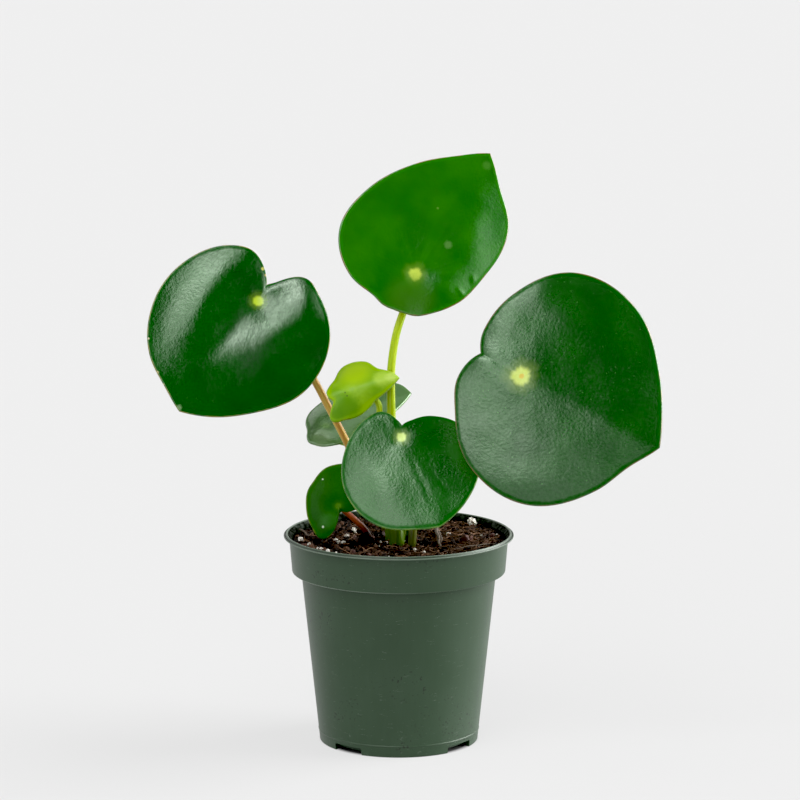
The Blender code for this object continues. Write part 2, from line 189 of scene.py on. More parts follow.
@dataclass
class Leaf:
    """One leaf. Its shape is the construction's, and the rest says how the blade and its stem look.

    at is the point where the stem holds the blade, in mm. The upper face looks along facing, in degrees from
    the front, positive to the right, and rise, in degrees above the level. tip_turn swings the tip from
    straight down, counter-clockwise as seen from the front, and notch is the angle from the tip round the
    blade's left side to its notch. left and right are radii in mm at the shares of SWEEP. folds are rays that
    stand up: angle from the tip, spread in degrees and height at the margin. swells are soft humps: place
    along and across the midrib, half sizes and height. route is the stem's, in mm.

    relief holds slighter humps, for the light alone: place along and across, half sizes, turn and height.
    Each mark is a fleck or a patch: place along and across, size and colour. Some patches are painted sheen,
    light and shade. edge colours the margin's line.
    grain is the depth of the skin's unevenness in mm. It fades where across + calm[0] * along passes calm[1].
    flecks is the share of fine pale flecks, and pores that of dull pits in the sheen. polish is the share of
    a second gloss, after where it fades in and out, twice across and once along the blade, in mm.
    """

    name: str
    at: tuple
    facing: float
    rise: float
    tip_turn: float
    notch: float
    left: tuple
    right: tuple
    dome: float
    crease: float
    wave: float
    wave_turn: float
    foot_radius: float
    top_radius: float
    route: tuple
    deep: tuple
    bright: tuple
    stem_colour: tuple
    stem_stripe: tuple
    waves: int = 3
    droop: float = 1
    folds: tuple = ()
    swells: tuple = ()
    slot: str = "leaf_dark"
    stem_slot: str = "stem_green"
    foot_end: float = 20.0
    spot: tuple = (0.33, 0.46, 0.02)
    spot_radius: float = 3.0
    ripple: float = 0.12
    vein_bearings: tuple = (0, 28, 62, 104, 148, -32, -66, -108, -150)
    vein_depth: float = 0.012
    vein_show: float = 0.05
    gloss: float = 0.2
    wax: float = 1.0
    look_seed: float = 0.0
    grain: float = 0.11
    calm: tuple = (0.0, 200.0)
    flecks: float = 0.0
    pores: float = 0.1
    polish: tuple = ()
    relief: tuple = ()
    marks_and_painted_light: tuple = ()
    edge: tuple = (0.160, 0.070, 0.022)

    def axes(self):
        """Unit vectors: out of the upper face, along the midrib to the tip, and to the blade's left side."""
        facing, rise, turn = (math.radians(a) for a in (self.facing, self.rise, self.tip_turn))
        out = Vector((math.sin(facing) * math.cos(rise), -math.cos(facing) * math.cos(rise), math.sin(rise)))
        down = Vector((0, 0, -1))
        down = (down - down.dot(out) * out).normalized()
        tip = math.cos(turn) * down + math.sin(turn) * out.cross(down)
        return out, tip, out.cross(tip)


LEAVES = (
    Leaf(
        name="left", at=(-61.4, -6.0, 198.5), facing=7, rise=20, tip_turn=-37, notch=188,
        left=(60, 56, 50, 45, 36.5, 27.5, 22.5, 12, 8.5),
        right=(60, 56.5, 53.5, 45.5, 36, 28, 21.5, 14, 8.5),
        dome=1.5, crease=0.02, wave=0.9, wave_turn=150,
        folds=((-23, 24, 1.1), (167, 30, 0.6), (67, 30, -1.1), (-130, 30, 0.7)),
        swells=((-2, 17, 22, 9.5, 2), (8, -20, 24, 7.5, 2)), foot_radius=1.8, top_radius=1.6,
        route=((-6, 16, 93), (-8, 14.5, 100), (-15.5, 8, 116), (-23.7, 1.5, 135.5), (-29.9, 0, 148),
               (-36.9, -0.5, 161.7), (-48, 3, 179), (-57, 5, 190)),
        stem_slot="stem_tan", deep=(0.0003, 0.038, 0.0003), bright=(0.0008, 0.054, 0.0005),
        stem_colour=(0.42, 0.28, 0.06), stem_stripe=(0.34, 0.16, 0.04), look_seed=1.3, spot_radius=2.4,
        edge=(0.22, 0.17, 0.03), grain=0.15, calm=(0.6, 20), flecks=0.12, pores=0.16,
        polish=((-9, -2), (23, 14), (36, 24), 0.85),
        marks_and_painted_light=((26.5, -38.4, 0.6, (0.55, 0.42, 0.25)), (28.8, -37.4, 0.5, (0.50, 0.30, 0.14)),
               (41.7, -29.3, 0.5, (0.60, 0.50, 0.30)), (51.7, -17.6, 0.7, (0.50, 0.38, 0.20)),
               (54.5, -12.4, 0.5, (0.55, 0.45, 0.25)), (-12.9, -6.6, 0.7, (0.40, 0.38, 0.06)),
               (-11.4, -3.9, 0.6, (0.30, 0.16, 0.03)), (58.6, -1.0, 1.2, (0.16, 0.26, 0.12))),
        relief=((-15, 18, 20, 8, 45, 1.4), (16, 10, 15, 6, -30, 0.9), (-12, -14, 15, 6, 0, 0.9),
                (30, -28, 30, 10, 15, -0.9), (18, -3, 14, 5, -10, -0.9)),
    ),
    Leaf(
        name="top", at=(7.4, 2.0, 209.2), facing=11, rise=22, tip_turn=145, notch=180,
        left=(66, 58.5, 51, 44, 39, 29.5, 21.5, 20, 18.5),
        right=(66, 57, 49, 31.5, 23, 19, 18.5, 18, 18.5),
        dome=1.5, crease=0.01, wave=0.8, wave_turn=46, droop=0,
        folds=((-4, 28, 0.6),), foot_radius=4.2, top_radius=1.7,
        route=((-0.9, -9.5, 93), (-1.5, -9, 102), (-3, -7.2, 120), (-3.3, -4, 146), (-3, -2, 171),
               (-1, 0.5, 183), (2, 4, 192), (5.5, 7.5, 200.5)),
        slot="leaf_bright", deep=(0.004, 0.084, 0.0003), bright=(0.013, 0.116, 0.0005),
        stem_colour=(0.25, 0.36, 0.002), stem_stripe=(0.32, 0.41, 0.02), look_seed=2.6,
        spot=(0.36, 0.46, 0.06), edge=(0.20, 0.075, 0.03), grain=0.05, vein_show=0.14,
        marks_and_painted_light=((19.2, -5.4, 1.6, (0.06, 0.16, 0.03)), (31.1, 6.9, 0.6, (0.07, 0.18, 0.02)),
               # The wide patch at -11 along and -4 across is painted sheen over the blade's lower part
               (60, -1.5, 2, (0.035, 0.140, 0.012)), (-11, -4, 10, (0.027, 0.112, 0.005))),
        relief=((12, 16, 22, 16, 20, -0.9), (22, -14, 22, 9, 20, 0.9), (2, -12, 9, 6, -20, 0.8),
                (12.3, -23, 1.8, 1, 40, 0.4), (4, -21.4, 2.2, 1, 70, 0.4)),
    ),
    Leaf(
        name="right", at=(52.5, -40.0, 171.1), facing=0, rise=14, tip_turn=63, notch=176,
        left=(67.5, 64, 60.5, 59, 52, 37, 28.5, 24, 20),
        right=(67.5, 61.5, 59, 55.5, 44.5, 32, 27.5, 23.5, 20),
        dome=4.9, crease=-0.08, wave=0.75, wave_turn=123,
        folds=((-25, 28, 0.3), (96, 28, 0.4)), foot_radius=1.8, top_radius=1.8,
        route=((5.9, -15.5, 93), (6.8, -14.5, 102), (12, -12, 116), (22, -9, 132), (34, -9, 147),
               (43.5, -14, 158), (49.5, -23.5, 165.5)),
        stem_slot="stem_tan", deep=(0.0005, 0.040, 0.0005), bright=(0.004, 0.060, 0.002),
        stem_colour=(0.33, 0.30, 0.03), stem_stripe=(0.24, 0.12, 0.03), look_seed=3.9,
        spot=(0.42, 0.50, 0.10), spot_radius=4.2, gloss=0.22, grain=0.13, calm=(0.2, 36), flecks=0.28,
        pores=0.20, polish=((-14, -26), (-90, -80), (98, 90), 0.4),
        marks_and_painted_light=((0.3, 0.2, 1.1, (0.50, 0.34, 0.04)),),
        relief=((20, 12, 24, 32, 10, -0.9), (20, -42, 25, 9, 20, 0.9), (-9, -17, 18, 22, 15, -0.9),
                (-3, 30, 10, 30, -20, -0.9), (-19, 0, 9, 6, 0, 1.7), (-4, 36, 12, 9, 0, 0.7)),
    ),
    Leaf(
        name="front", at=(1.2, -28.0, 142.3), facing=0, rise=29, tip_turn=22, notch=156,
        left=(44, 42.5, 40, 36, 28.5, 17, 9.5, 7, 5.5),
        right=(44, 42.5, 41.5, 35, 24.5, 18, 14.5, 8.5, 5.5),
        dome=0.5, crease=-0.09, wave=0.6, wave_turn=13, droop=0.5,
        folds=((-27, 28, 0.9), (32, 28, 0.5)), foot_radius=1.4, top_radius=1.4,
        route=((1.5, -2.5, 93), (2.5, -3.5, 102), (4.2, -6.5, 116), (4, -10.5, 128), (2.2, -17, 135.5)),
        deep=(0.001, 0.050, 0.0005), bright=(0.004, 0.070, 0.002),
        stem_colour=(0.20, 0.32, 0.01), stem_stripe=(0.30, 0.40, 0.03), look_seed=5.5, wax=0.80,
        spot=(0.46, 0.58, 0.16), spot_radius=2.2, edge=(0.10, 0.17, 0.02), grain=0.12, calm=(-0.2, 24),
        flecks=0.15, pores=0.12,
        relief=((11, 18, 13, 28, -40, -0.9), (-5, -25, 30, 7, 135, 0.9), (20, -16, 32, 9, 5, 0.9),
                (-12, -10, 5, 9, -35, 0.9), (22, 0.6, 14, 1.4, 0, -0.12), (24, 7.5, 10, 1.3, 16, -0.08)),
    ),
    Leaf(
        name="low", at=(-26.4, -20.0, 109.8), facing=8, rise=16, tip_turn=-151, notch=189,
        left=(16.5, 15.5, 15, 14, 14.5, 15, 4.5, 3, 3),
        right=(16.5, 17.5, 18.5, 19.5, 17.5, 11.5, 6.5, 4.5, 3),
        dome=2, crease=-0.04, wave=0.5, waves=2, wave_turn=30, droop=0.5,
        foot_radius=1.4, top_radius=1.3,
        route=((-13, -6, 92.5), (-15.2, -7.4, 96.8), (-18.6, -9, 100.6), (-22.2, -10.6, 104.2),
               (-25.2, -11.6, 106.8)),
        slot="leaf_bright", stem_slot="stem_red", deep=(0.005, 0.055, 0.0005), bright=(0.014, 0.085, 0.001),
        stem_colour=(0.30, 0.055, 0.018), stem_stripe=(0.42, 0.12, 0.05), look_seed=6.5, wax=0.14, gloss=0.3,
        spot=(0.05, 0.13, 0.01), spot_radius=1.5, edge=(0.09, 0.13, 0.01), ripple=0.06,
        # The first patch, at -3.5 along and 6.5 across, is painted light on a facet that faces the light
        marks_and_painted_light=((-3.5, 6.5, 4, (0.022, 0.105, 0.012)), (13.6, -0.3, 0.35, (0.5, 0.6, 0.45)),
               (-4.4, 10.4, 0.5, (0.5, 0.6, 0.45))),
    ),
    Leaf(
        name="young", at=(-20.5, -12.0, 160.4), facing=-6, rise=32, tip_turn=108, notch=183,
        left=(21.5, 19.5, 16, 17, 15.5, 11, 11, 11.5, 11),
        right=(21.5, 17, 12, 10, 10.5, 12.5, 15.5, 10, 11),
        dome=1, crease=-0.6, wave=0.4, waves=2, wave_turn=0,
        foot_radius=1.6, top_radius=1.4,
        route=((-4.5, 0, 93), (-5, 0, 106), (-6.6, -1, 125), (-8.4, -4.2, 146), (-9.2, -4.8, 153),
               (-13, -4, 156), (-18, -5.5, 156.5)),
        slot="leaf_lime", deep=(0.085, 0.220, 0.0005), bright=(0.200, 0.340, 0.006),
        stem_colour=(0.34, 0.48, 0.01), stem_stripe=(0.40, 0.52, 0.04), look_seed=7.8, wax=0.3, gloss=0.36,
        spot=(0.16, 0.30, 0.01), spot_radius=1.2, edge=(0.20, 0.26, 0.02), grain=0.06, ripple=0.06,
        # Painted light and shade: the first two patches darken the shaded lower half, the third lights the
        # upper half, and the two by the tip are painted sheen along the fold
        marks_and_painted_light=((-4, -6.5, 6, (0.066, 0.185, 0.0005)), (-10, -9, 4, (0.070, 0.190, 0.0005)),
               (3, 9, 7, (0.250, 0.380, 0.001)), (14, 1.8, 4, (0.27, 0.40, 0.04)),
               (18.5, 1.2, 3, (0.33, 0.44, 0.08)), (-3.3, -0.5, 0.4, (0.03, 0.05, 0.01)),
               (-2.8, -2.1, 0.4, (0.03, 0.05, 0.01))),
    ),
    Leaf(
        name="back", at=(-32.6, 28.0, 137.2), facing=-8, rise=62, tip_turn=130, notch=174,
        left=(45.5, 45.5, 37.5, 24, 16.5, 11, 9, 9, 10),
        right=(45.5, 33.5, 22.5, 15.5, 12.5, 11, 10.5, 11, 10),
        dome=3, crease=-0.04, wave=0.8, wave_turn=0,
        foot_radius=1.5, top_radius=1.4,
        route=((4.5, 4, 93), (3, 6, 103), (-3, 11, 113), (-12, 19, 121.5), (-21, 27, 127.5)),
        slot="leaf_grey", deep=(0.045, 0.100, 0.030), bright=(0.065, 0.130, 0.045),
        stem_colour=(0.20, 0.32, 0.02), stem_stripe=(0.30, 0.40, 0.05), look_seed=9.1,
        spot=(0.09, 0.17, 0.05), spot_radius=2.0, edge=(0.13, 0.19, 0.08),
        # The patch is painted sheen, a paler grey green over the blade's lower left
        marks_and_painted_light=((-6, -5, 5, (0.13, 0.20, 0.10)),),
    ),
)

# What shows on the potting mix from the front, in mm. Perlite: place and size
PERLITE = (
    (-43.5, -2.5, 2.6), (-39.5, -12.0, 1.8), (-35.5, -20.0, 1.7), (-34.0, -22.0, 1.9), (-31.0, -26.0, 2.4),
    (-28.0, -2.0, 2.6), (-26.5, -6.5, 2.0), (-24.5, -9.0, 2.4), (-23.0, 4.0, 2.4), (-20.0, 14.0, 2.6),
    (-27.5, -26.5, 1.4), (7.0, -24.0, 1.9), (11.0, -30.0, 2.0), (19.0, -30.0, 1.5), (36.5, 7.5, 1.9),
    (33.0, 31.0, 4.4), (22.0, 6.0, 2.2), (22.5, 9.0, 2.0), (-5.6, -6.0, 1.7),
)
# Clods and bark pieces: place and size
LUMPS = (
    (-14.5, -10.0, 6.8), (-12.0, -6.9, 3.2), (-36.0, -9.0, 4.2), (-31.0, -17.0, 3.6), (3.0, -33.0, 3.4),
    (12.5, -14.0, 4.6), (23.5, -12.0, 4.4), (-7.0, -22.0, 3.2), (38.0, -12.0, 3.0),
)
BARK = ((28.8, -7.0, 6.2), (31.5, -3.5, 4.4), (-20.0, -28.0, 3.0), (41.0, 3.0, 3.4))
# Patches of painted shade on the potting mix: place and half width
SOIL_SHADE_PATCHES = ((-8.0, 4.0, 4.6), (10.0, -8.0, 4.2), (29.0, 18.0, 3.0), (13.0, 3.0, 3.0))
# Twigs: both ends and thickness
TWIGS = (
    ((16.6, 14.0), (18.6, -22.0), 1.5),
    ((18.0, 12.0), (19.2, -12.0), 1.0),
    ((-44.0, 14.0), (-37.5, -3.0), 0.8),
    ((24.0, -24.0), (42.0, -14.0), 0.6),
)


class Wire:
    """The output of a node. Sums, products and powers of wires and numbers add Math nodes."""

    def __init__(self, tree, socket):
        self.tree = tree
        self.socket = socket

    def math(self, operation, *values):
        return self.tree.add("ShaderNodeMath", dict(enumerate((self, *values))), operation=operation)

    def flipped(self, operation, value):
        return self.tree.add("ShaderNodeMath", {0: value, 1: self}, operation=operation)

    def __add__(self, other):
        return self.math("ADD", other)

    def __radd__(self, other):
        return self.flipped("ADD", other)

    def __sub__(self, other):
        return self.math("SUBTRACT", other)

    def __rsub__(self, other):
        return self.flipped("SUBTRACT", other)

    def __mul__(self, other):
        return self.math("MULTIPLY", other)

    def __rmul__(self, other):
        return self.flipped("MULTIPLY", other)

    def __truediv__(self, other):
        return self.math("DIVIDE", other)

    def __rtruediv__(self, other):
        return self.flipped("DIVIDE", other)

    def __pow__(self, other):
        return self.math("POWER", other)

    def ramp(self, start, end, low=0.0, high=1.0):
        """A smooth change from low at start to high at end, level outside them."""
        inputs = {"Value": self, "From Min": start, "From Max": end, "To Min": low, "To Max": high}
        return self.tree.add("ShaderNodeMapRange", inputs, interpolation_type="SMOOTHSTEP")

    def split(self, count=3):
        """Its x, y and z, or only the first of them."""
        return [self.tree.add("ShaderNodeSeparateXYZ", {0: self}, axis) for axis in range(count)]


def distance(x, y):
    """Length of the vector (x, y), for wires."""
    return (x * x + y * y) ** 0.5


def shaded(colour, share):
    """A darker shade of a colour."""
    return tuple(channel * share for channel in colour)


class Tree:
    """A node tree of a material, of a world or of geometry nodes, while it is put together."""

    def __init__(self, nodes_of):
        self.tree = nodes_of

    def add(self, kind, inputs=None, output=0, **settings):
        """Adds a node with its settings, then the values or wires of its sockets, and gives one output."""
        node = self.tree.nodes.new(kind)
        for name, value in settings.items():
            setattr(node, name, value)
        for key, value in (inputs or {}).items():
            self.feed(self.find(node.inputs, key), value)
        if node.outputs:
            return Wire(self, self.find(node.outputs, output))

    @staticmethod
    def find(sockets, key):
        """A socket by its name or its place among those that the node's settings leave in use."""
        in_use = [socket for socket in sockets if socket.enabled]
        if isinstance(key, int):
            return in_use[key]
        return next(socket for socket in in_use if socket.name == key)

    def feed(self, socket, value):
        if isinstance(value, Wire):
            self.tree.links.new(value.socket, socket)
        elif socket.type == "RGBA":
            socket.default_value = (*value, 1)
        else:
            socket.default_value = value

    def noise(self, size, vector, detail=2.0, roughness=0.5):
        """Soft noise whose patches are about size across, in the units of vector."""
        inputs = {"Vector": vector, "Scale": 1 / size, "Detail": detail, "Roughness": roughness}
        return self.add("ShaderNodeTexNoise", inputs, "Fac")

    def vector(self, x=0.0, y=0.0, z=0.0):
        return self.add("ShaderNodeCombineXYZ", {0: x, 1: y, 2: z})

    def vector_math(self, operation, inputs):
        return self.add("ShaderNodeVectorMath", inputs, operation=operation)

    def stretch(self, vector, factors):
        return self.vector_math("MULTIPLY", {0: vector, 1: factors})

    def mix(self, factor, colour_a, colour_b):
        return self.add("ShaderNodeMix", {"Factor": factor, "A": colour_a, "B": colour_b}, data_type="RGBA")


class Finish(Tree):
    """A material built on its Principled BSDF."""

    def __init__(self, name, **fixed):
        self.material = bpy.data.materials.new(name)
        self.material.use_nodes = True
        super().__init__(self.material.node_tree)
        self.shader = self.tree.nodes["Principled BSDF"]
        for socket, value in fixed.items():
            self.set(socket.replace("_", " "), value)

    def set(self, name, value):
        self.feed(self.shader.inputs[name], value)

    def place(self):
        """Object coordinates in mm."""
        return self.stretch(self.add("ShaderNodeTexCoord", output="Object"), (1 / MM, 1 / MM, 1 / MM))

    def attribute(self, name, output="Fac"):
        return self.add("ShaderNodeAttribute", output=output, attribute_name=name)

    def cover(self, share, colour):
        """Lays a matt colour over the shader, by a share from 0 to 1."""
        matt = self.add("ShaderNodeBsdfDiffuse", {"Color": colour})
        below = Wire(self, self.shader.outputs["BSDF"])
        both = self.add("ShaderNodeMixShader", {0: share, 1: below, 2: matt})
        self.feed(self.tree.nodes["Material Output"].inputs["Surface"], both)

    def done(self, colour, roughness, relief=None, depth=0.0):
        """Sets colour, roughness and a relief, as a height from 0 to 1 and a depth in mm."""
        self.set("Base Color", colour)
        self.set("Roughness", roughness)
        if relief is not None:
            inputs = {"Strength": 1.0, "Distance": depth * MM, "Height": relief}
            self.set("Normal", self.add("ShaderNodeBump", inputs, "Normal"))
        return self.material


class Growth(Tree):
    """A geometry node tree with named inputs, whose result is realised and given its material."""

    def __init__(self, name, inputs):
        group = bpy.data.node_groups.new(name, "GeometryNodeTree")
        group.interface.new_socket("Geometry", in_out="INPUT", socket_type="NodeSocketGeometry")
        kinds = {float: "NodeSocketFloat", int: "NodeSocketInt"}
        for label, default in inputs.items():
            socket = group.interface.new_socket(label, in_out="INPUT", socket_type=kinds[type(default)])
            socket.default_value = default
        group.interface.new_socket("Finish", in_out="INPUT", socket_type="NodeSocketMaterial")
        group.interface.new_socket("Geometry", in_out="OUTPUT", socket_type="NodeSocketGeometry")
        super().__init__(group)
        self.entry = group.nodes.new("NodeGroupInput")
        self.group = group

    def given(self, label):
        return Wire(self, self.find(self.entry.outputs, label))

    def random(self, low, high, seed, kind="FLOAT"):
        return self.add("FunctionNodeRandomValue", {"Min": low, "Max": high, "Seed": seed}, data_type=kind)

    def strew(self, density, seed):
        """Random points on the faces of what is given."""
        inputs = {"Mesh": self.given("Geometry"), "Density": density, "Seed": seed}
        return self.add("GeometryNodeDistributePointsOnFaces", inputs, "Points")

    def store(self, geometry, name, value, kind="FLOAT", domain="POINT"):
        inputs = {"Geometry": geometry, "Name": name, "Value": value}
        return self.add("GeometryNodeStoreNamedAttribute", inputs, data_type=kind, domain=domain)

    def stored_size(self):
        return self.add("GeometryNodeInputNamedAttribute", {"Name": "size"}, "Attribute", data_type="FLOAT")

    def plant(self, points, shape, turn, scale, notes):
        """Sets a turned and scaled copy of a shape on each point, with its notes stored by name."""
        inputs = {"Points": points, "Instance": shape, "Rotation": turn, "Scale": scale}
        planted = self.add("GeometryNodeInstanceOnPoints", inputs)
        for name, value in notes.items():
            planted = self.store(planted, name, value, domain="INSTANCE")
        return self.add("GeometryNodeRealizeInstances", {0: planted})

    def drift(self, scale, detail, reach):
        """A soft random offset that differs from point to point."""
        inputs = {"Vector": self.add("GeometryNodeInputPosition"), "Scale": scale, "Detail": detail}
        waves = self.add("ShaderNodeTexNoise", inputs, "Color")
        centred = self.vector_math("SUBTRACT", {0: waves, 1: (0.5, 0.5, 0.5)})
        return self.vector_math("SCALE", {0: centred, "Scale": reach})

    def close(self, geometry):
        realised = self.add("GeometryNodeRealizeInstances", {0: geometry})
        smooth = self.add("GeometryNodeSetShadeSmooth", {0: realised})
        finished = self.add("GeometryNodeSetMaterial", {"Geometry": smooth, "Material": self.given("Finish")})
        self.add("NodeGroupOutput", {0: finished})
        return self

    def grow(self, obj, values):
        """Runs the tree on an object that is only its seed, and gives a plain mesh object in its place."""
        modifier = obj.modifiers.new(self.group.name, "NODES")
        modifier.node_group = self.group
        for item in self.group.interface.items_tree:
            if item.in_out == "INPUT" and item.name in values:
                modifier[item.identifier] = values[item.name]
        return plain_mesh(obj)


def add_object(name, data):
    obj = bpy.data.objects.new(name, data)
    bpy.context.scene.collection.objects.link(obj)
    return obj


def add_bmesh(name, bm):
    mesh = bpy.data.meshes.new(name)
    bm.to_mesh(mesh)
    bm.free()
    return add_object(name, mesh)


def plain_mesh(obj):
    """Replaces an object by a mesh object of its evaluated shape, with no modifiers."""
    graph = bpy.context.evaluated_depsgraph_get()
    mesh = bpy.data.meshes.new_from_object(obj.evaluated_get(graph))
    name = obj.name
    bpy.data.objects.remove(obj)
    mesh.name = name
    return add_object(name, mesh)


def settle(obj, slot, *nodes):
    """Joins a finished piece to the model: its body and the nodes that it stands for. The slot is not used."""
    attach(obj, "root")
    if nodes:
        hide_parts(*nodes)


def slopes(places, values):
    """Slope of a smooth curve at each of its points, from the points beside it."""
    steps = [(b - a) / (y - x) for x, y, a, b in zip(places, places[1:], values, values[1:])]
    found = [steps[0]]
    for i in range(1, len(places) - 1):
        before = places[i] - places[i - 1]
        after = places[i + 1] - places[i]
        found.append((steps[i - 1] * after + steps[i] * before) / (before + after))
    return found + [steps[-1]]


def smooth_value(places, values, place):
    """The value at a place on the smooth curve through the points. Values are numbers or vectors."""
    i = 0
    while i < len(places) - 2 and place > places[i + 1]:
        i += 1
    span = places[i + 1] - places[i]
    t = (place - places[i]) / span
    slope = slopes(places, values)
    start = (2 * t**3 - 3 * t**2 + 1) * values[i] + (t**3 - 2 * t**2 + t) * span * slope[i]
    end = (3 * t**2 - 2 * t**3) * values[i + 1] + (t**3 - t**2) * span * slope[i + 1]
    return start + end


def turned(name, profile, sides):
    """A profile of (radius, height) points in mm, outer side first from the top, turned about Z."""
    bm = bmesh.new()
    verts = [bm.verts.new((radius * MM, 0, height * MM)) for radius, height in profile]
    for first, second in zip(verts, verts[1:]):
        bm.edges.new((first, second))
    if profile[0][0] > 0:
        bm.edges.new((verts[-1], verts[0]))
    obj = add_bmesh(name, bm)
    screw = obj.modifiers.new("turn", "SCREW")
    screw.axis = "Z"
    screw.steps = sides
    screw.render_steps = sides
    screw.use_merge_vertices = True
    screw.merge_threshold = 0.00001
    return obj


def rounded(before, corner, after, radius):
    """Points of an arc that rounds a profile's corner between its two neighbours."""
    corner = Vector(corner)
    to_before = (Vector(before) - corner).normalized()
    to_after = (Vector(after) - corner).normalized()
    half = to_before.angle(to_after) / 2
    centre = corner + (to_before + to_after).normalized() * (radius / math.sin(half))
    first = corner + to_before * (radius / math.tan(half)) - centre
    last = corner + to_after * (radius / math.tan(half)) - centre
    sweep = first.angle_signed(last)
    arc = []
    for step in range(ROUND_STEPS + 1):
        turn = -sweep * step / ROUND_STEPS
        x = first.x * math.cos(turn) - first.y * math.sin(turn)
        y = first.x * math.sin(turn) + first.y * math.cos(turn)
        arc.append((centre.x + x, centre.y + y))
    return arc


def round_profile(corners):
    """A profile from (radius, height, rounding) corners."""
    points = []
    for i, (radius, height, rounding) in enumerate(corners):
        if rounding:
            before, after = corners[i - 1][:2], corners[(i + 1) % len(corners)][:2]
            points += rounded(before, (radius, height), after, rounding)
        else:
            points.append((radius, height))
    return points


def body_radius(height):
    """Outer radius of the pot's body at a height, in mm."""
    return BODY_FOOT_RADIUS + (BODY_TOP_RADIUS - BODY_FOOT_RADIUS) * height / COLLAR_FOOT


def pot_profile():
    """The pot's section: flared mouth, grooved lip, collar, step, body with its bead, foot and inner wall."""
    foot_inside = BODY_FOOT_RADIUS - FOOT_RING_WIDTH
    bead = [
        (body_radius(BEAD_HEIGHT + BEAD_WIDTH), BEAD_HEIGHT + BEAD_WIDTH, FINE_ROUND),
        (body_radius(BEAD_HEIGHT) + BEAD_RISE, BEAD_HEIGHT, FINE_ROUND),
        (body_radius(BEAD_HEIGHT - BEAD_WIDTH), BEAD_HEIGHT - BEAD_WIDTH, FINE_ROUND),
    ]
    corners = [
        (MOUTH_RADIUS, RIM_TOP, FINE_ROUND),
        (RIDGE_RADIUS, RIM_TOP, FINE_ROUND),
        (GROOVE_RADIUS, RIM_TOP - GROOVE_DEPTH, 0.1),
        (RIM_RADIUS, RIM_TOP - OUTER_RIDGE_DROP, EDGE_ROUND),
        (RIM_RADIUS, RIM_TOP - LIP_HEIGHT, EDGE_ROUND),
        (COLLAR_TOP_RADIUS, RIM_TOP - LIP_HEIGHT, EDGE_ROUND),
        (COLLAR_FOOT_RADIUS, COLLAR_FOOT, STEP_ROUND),
        (BODY_TOP_RADIUS, COLLAR_FOOT, STEP_ROUND),
        *bead,
        (BODY_FOOT_RADIUS, 0, 0.4),
        (foot_inside, 0, EDGE_ROUND),
        (foot_inside, FLOOR_RECESS, 0.2),
        (CENTRE_PAD_RADIUS + PAD_SLOPE, FLOOR_RECESS, 0),
        (CENTRE_PAD_RADIUS, 0, 0),
        (0, 0, 0),
        (0, FLOOR_TOP, 0),
        (BODY_FOOT_RADIUS - WALL, FLOOR_TOP, STEP_ROUND),
        (BODY_TOP_RADIUS - WALL, COLLAR_FOOT + WALL, STEP_ROUND),
        (COLLAR_FOOT_RADIUS - WALL, COLLAR_FOOT + WALL, STEP_ROUND),
        (COLLAR_TOP_RADIUS - WALL, MOUTH_FOOT, 0.6),
    ]
    return round_profile(corners)


def cut_notches(pot):
    """Cuts the drain notches through the foot of the wall and the edge of the floor."""
    cutters = bpy.data.collections.new("notch cutters")
    depth = BODY_FOOT_RADIUS + CUTTER_SPARE - NOTCH_INNER_RADIUS
    height = NOTCH_HEIGHT + CUTTER_SPARE
    middle = NOTCH_INNER_RADIUS + depth / 2
    blocks = []
    for number in range(NOTCHES):
        angle = math.radians(FIRST_NOTCH + number * 360 / NOTCHES - 90)
        bm = bmesh.new()
        bmesh.ops.create_cube(bm, size=1)
        bmesh.ops.scale(bm, vec=(depth * MM, NOTCH_WIDTH * MM, height * MM), verts=bm.verts)
        corners = [edge for edge in bm.edges if abs((edge.verts[0].co - edge.verts[1].co).x) > depth * MM / 2]
        round_off = {"offset": NOTCH_ROUND * MM, "segments": 4, "profile": 0.5, "affect": "EDGES"}
        bmesh.ops.bevel(bm, geom=corners, **round_off)
        block = add_bmesh(f"notch_{number}", bm)
        block.location = (middle * math.cos(angle) * MM, middle * math.sin(angle) * MM, 0)
        block.location.z = (NOTCH_HEIGHT - height / 2) * MM
        block.rotation_euler = (0, 0, angle)
        cutters.objects.link(block)
        blocks.append(block)
    boolean = pot.modifiers.new("notches", "BOOLEAN")
    boolean.operation = "DIFFERENCE"
    boolean.operand_type = "COLLECTION"
    boolean.collection = cutters
    boolean.solver = "EXACT"
    cut_pot = plain_mesh(pot)
    for block in blocks:
        bpy.data.objects.remove(block)
    bpy.data.collections.remove(cutters)
    return cut_pot


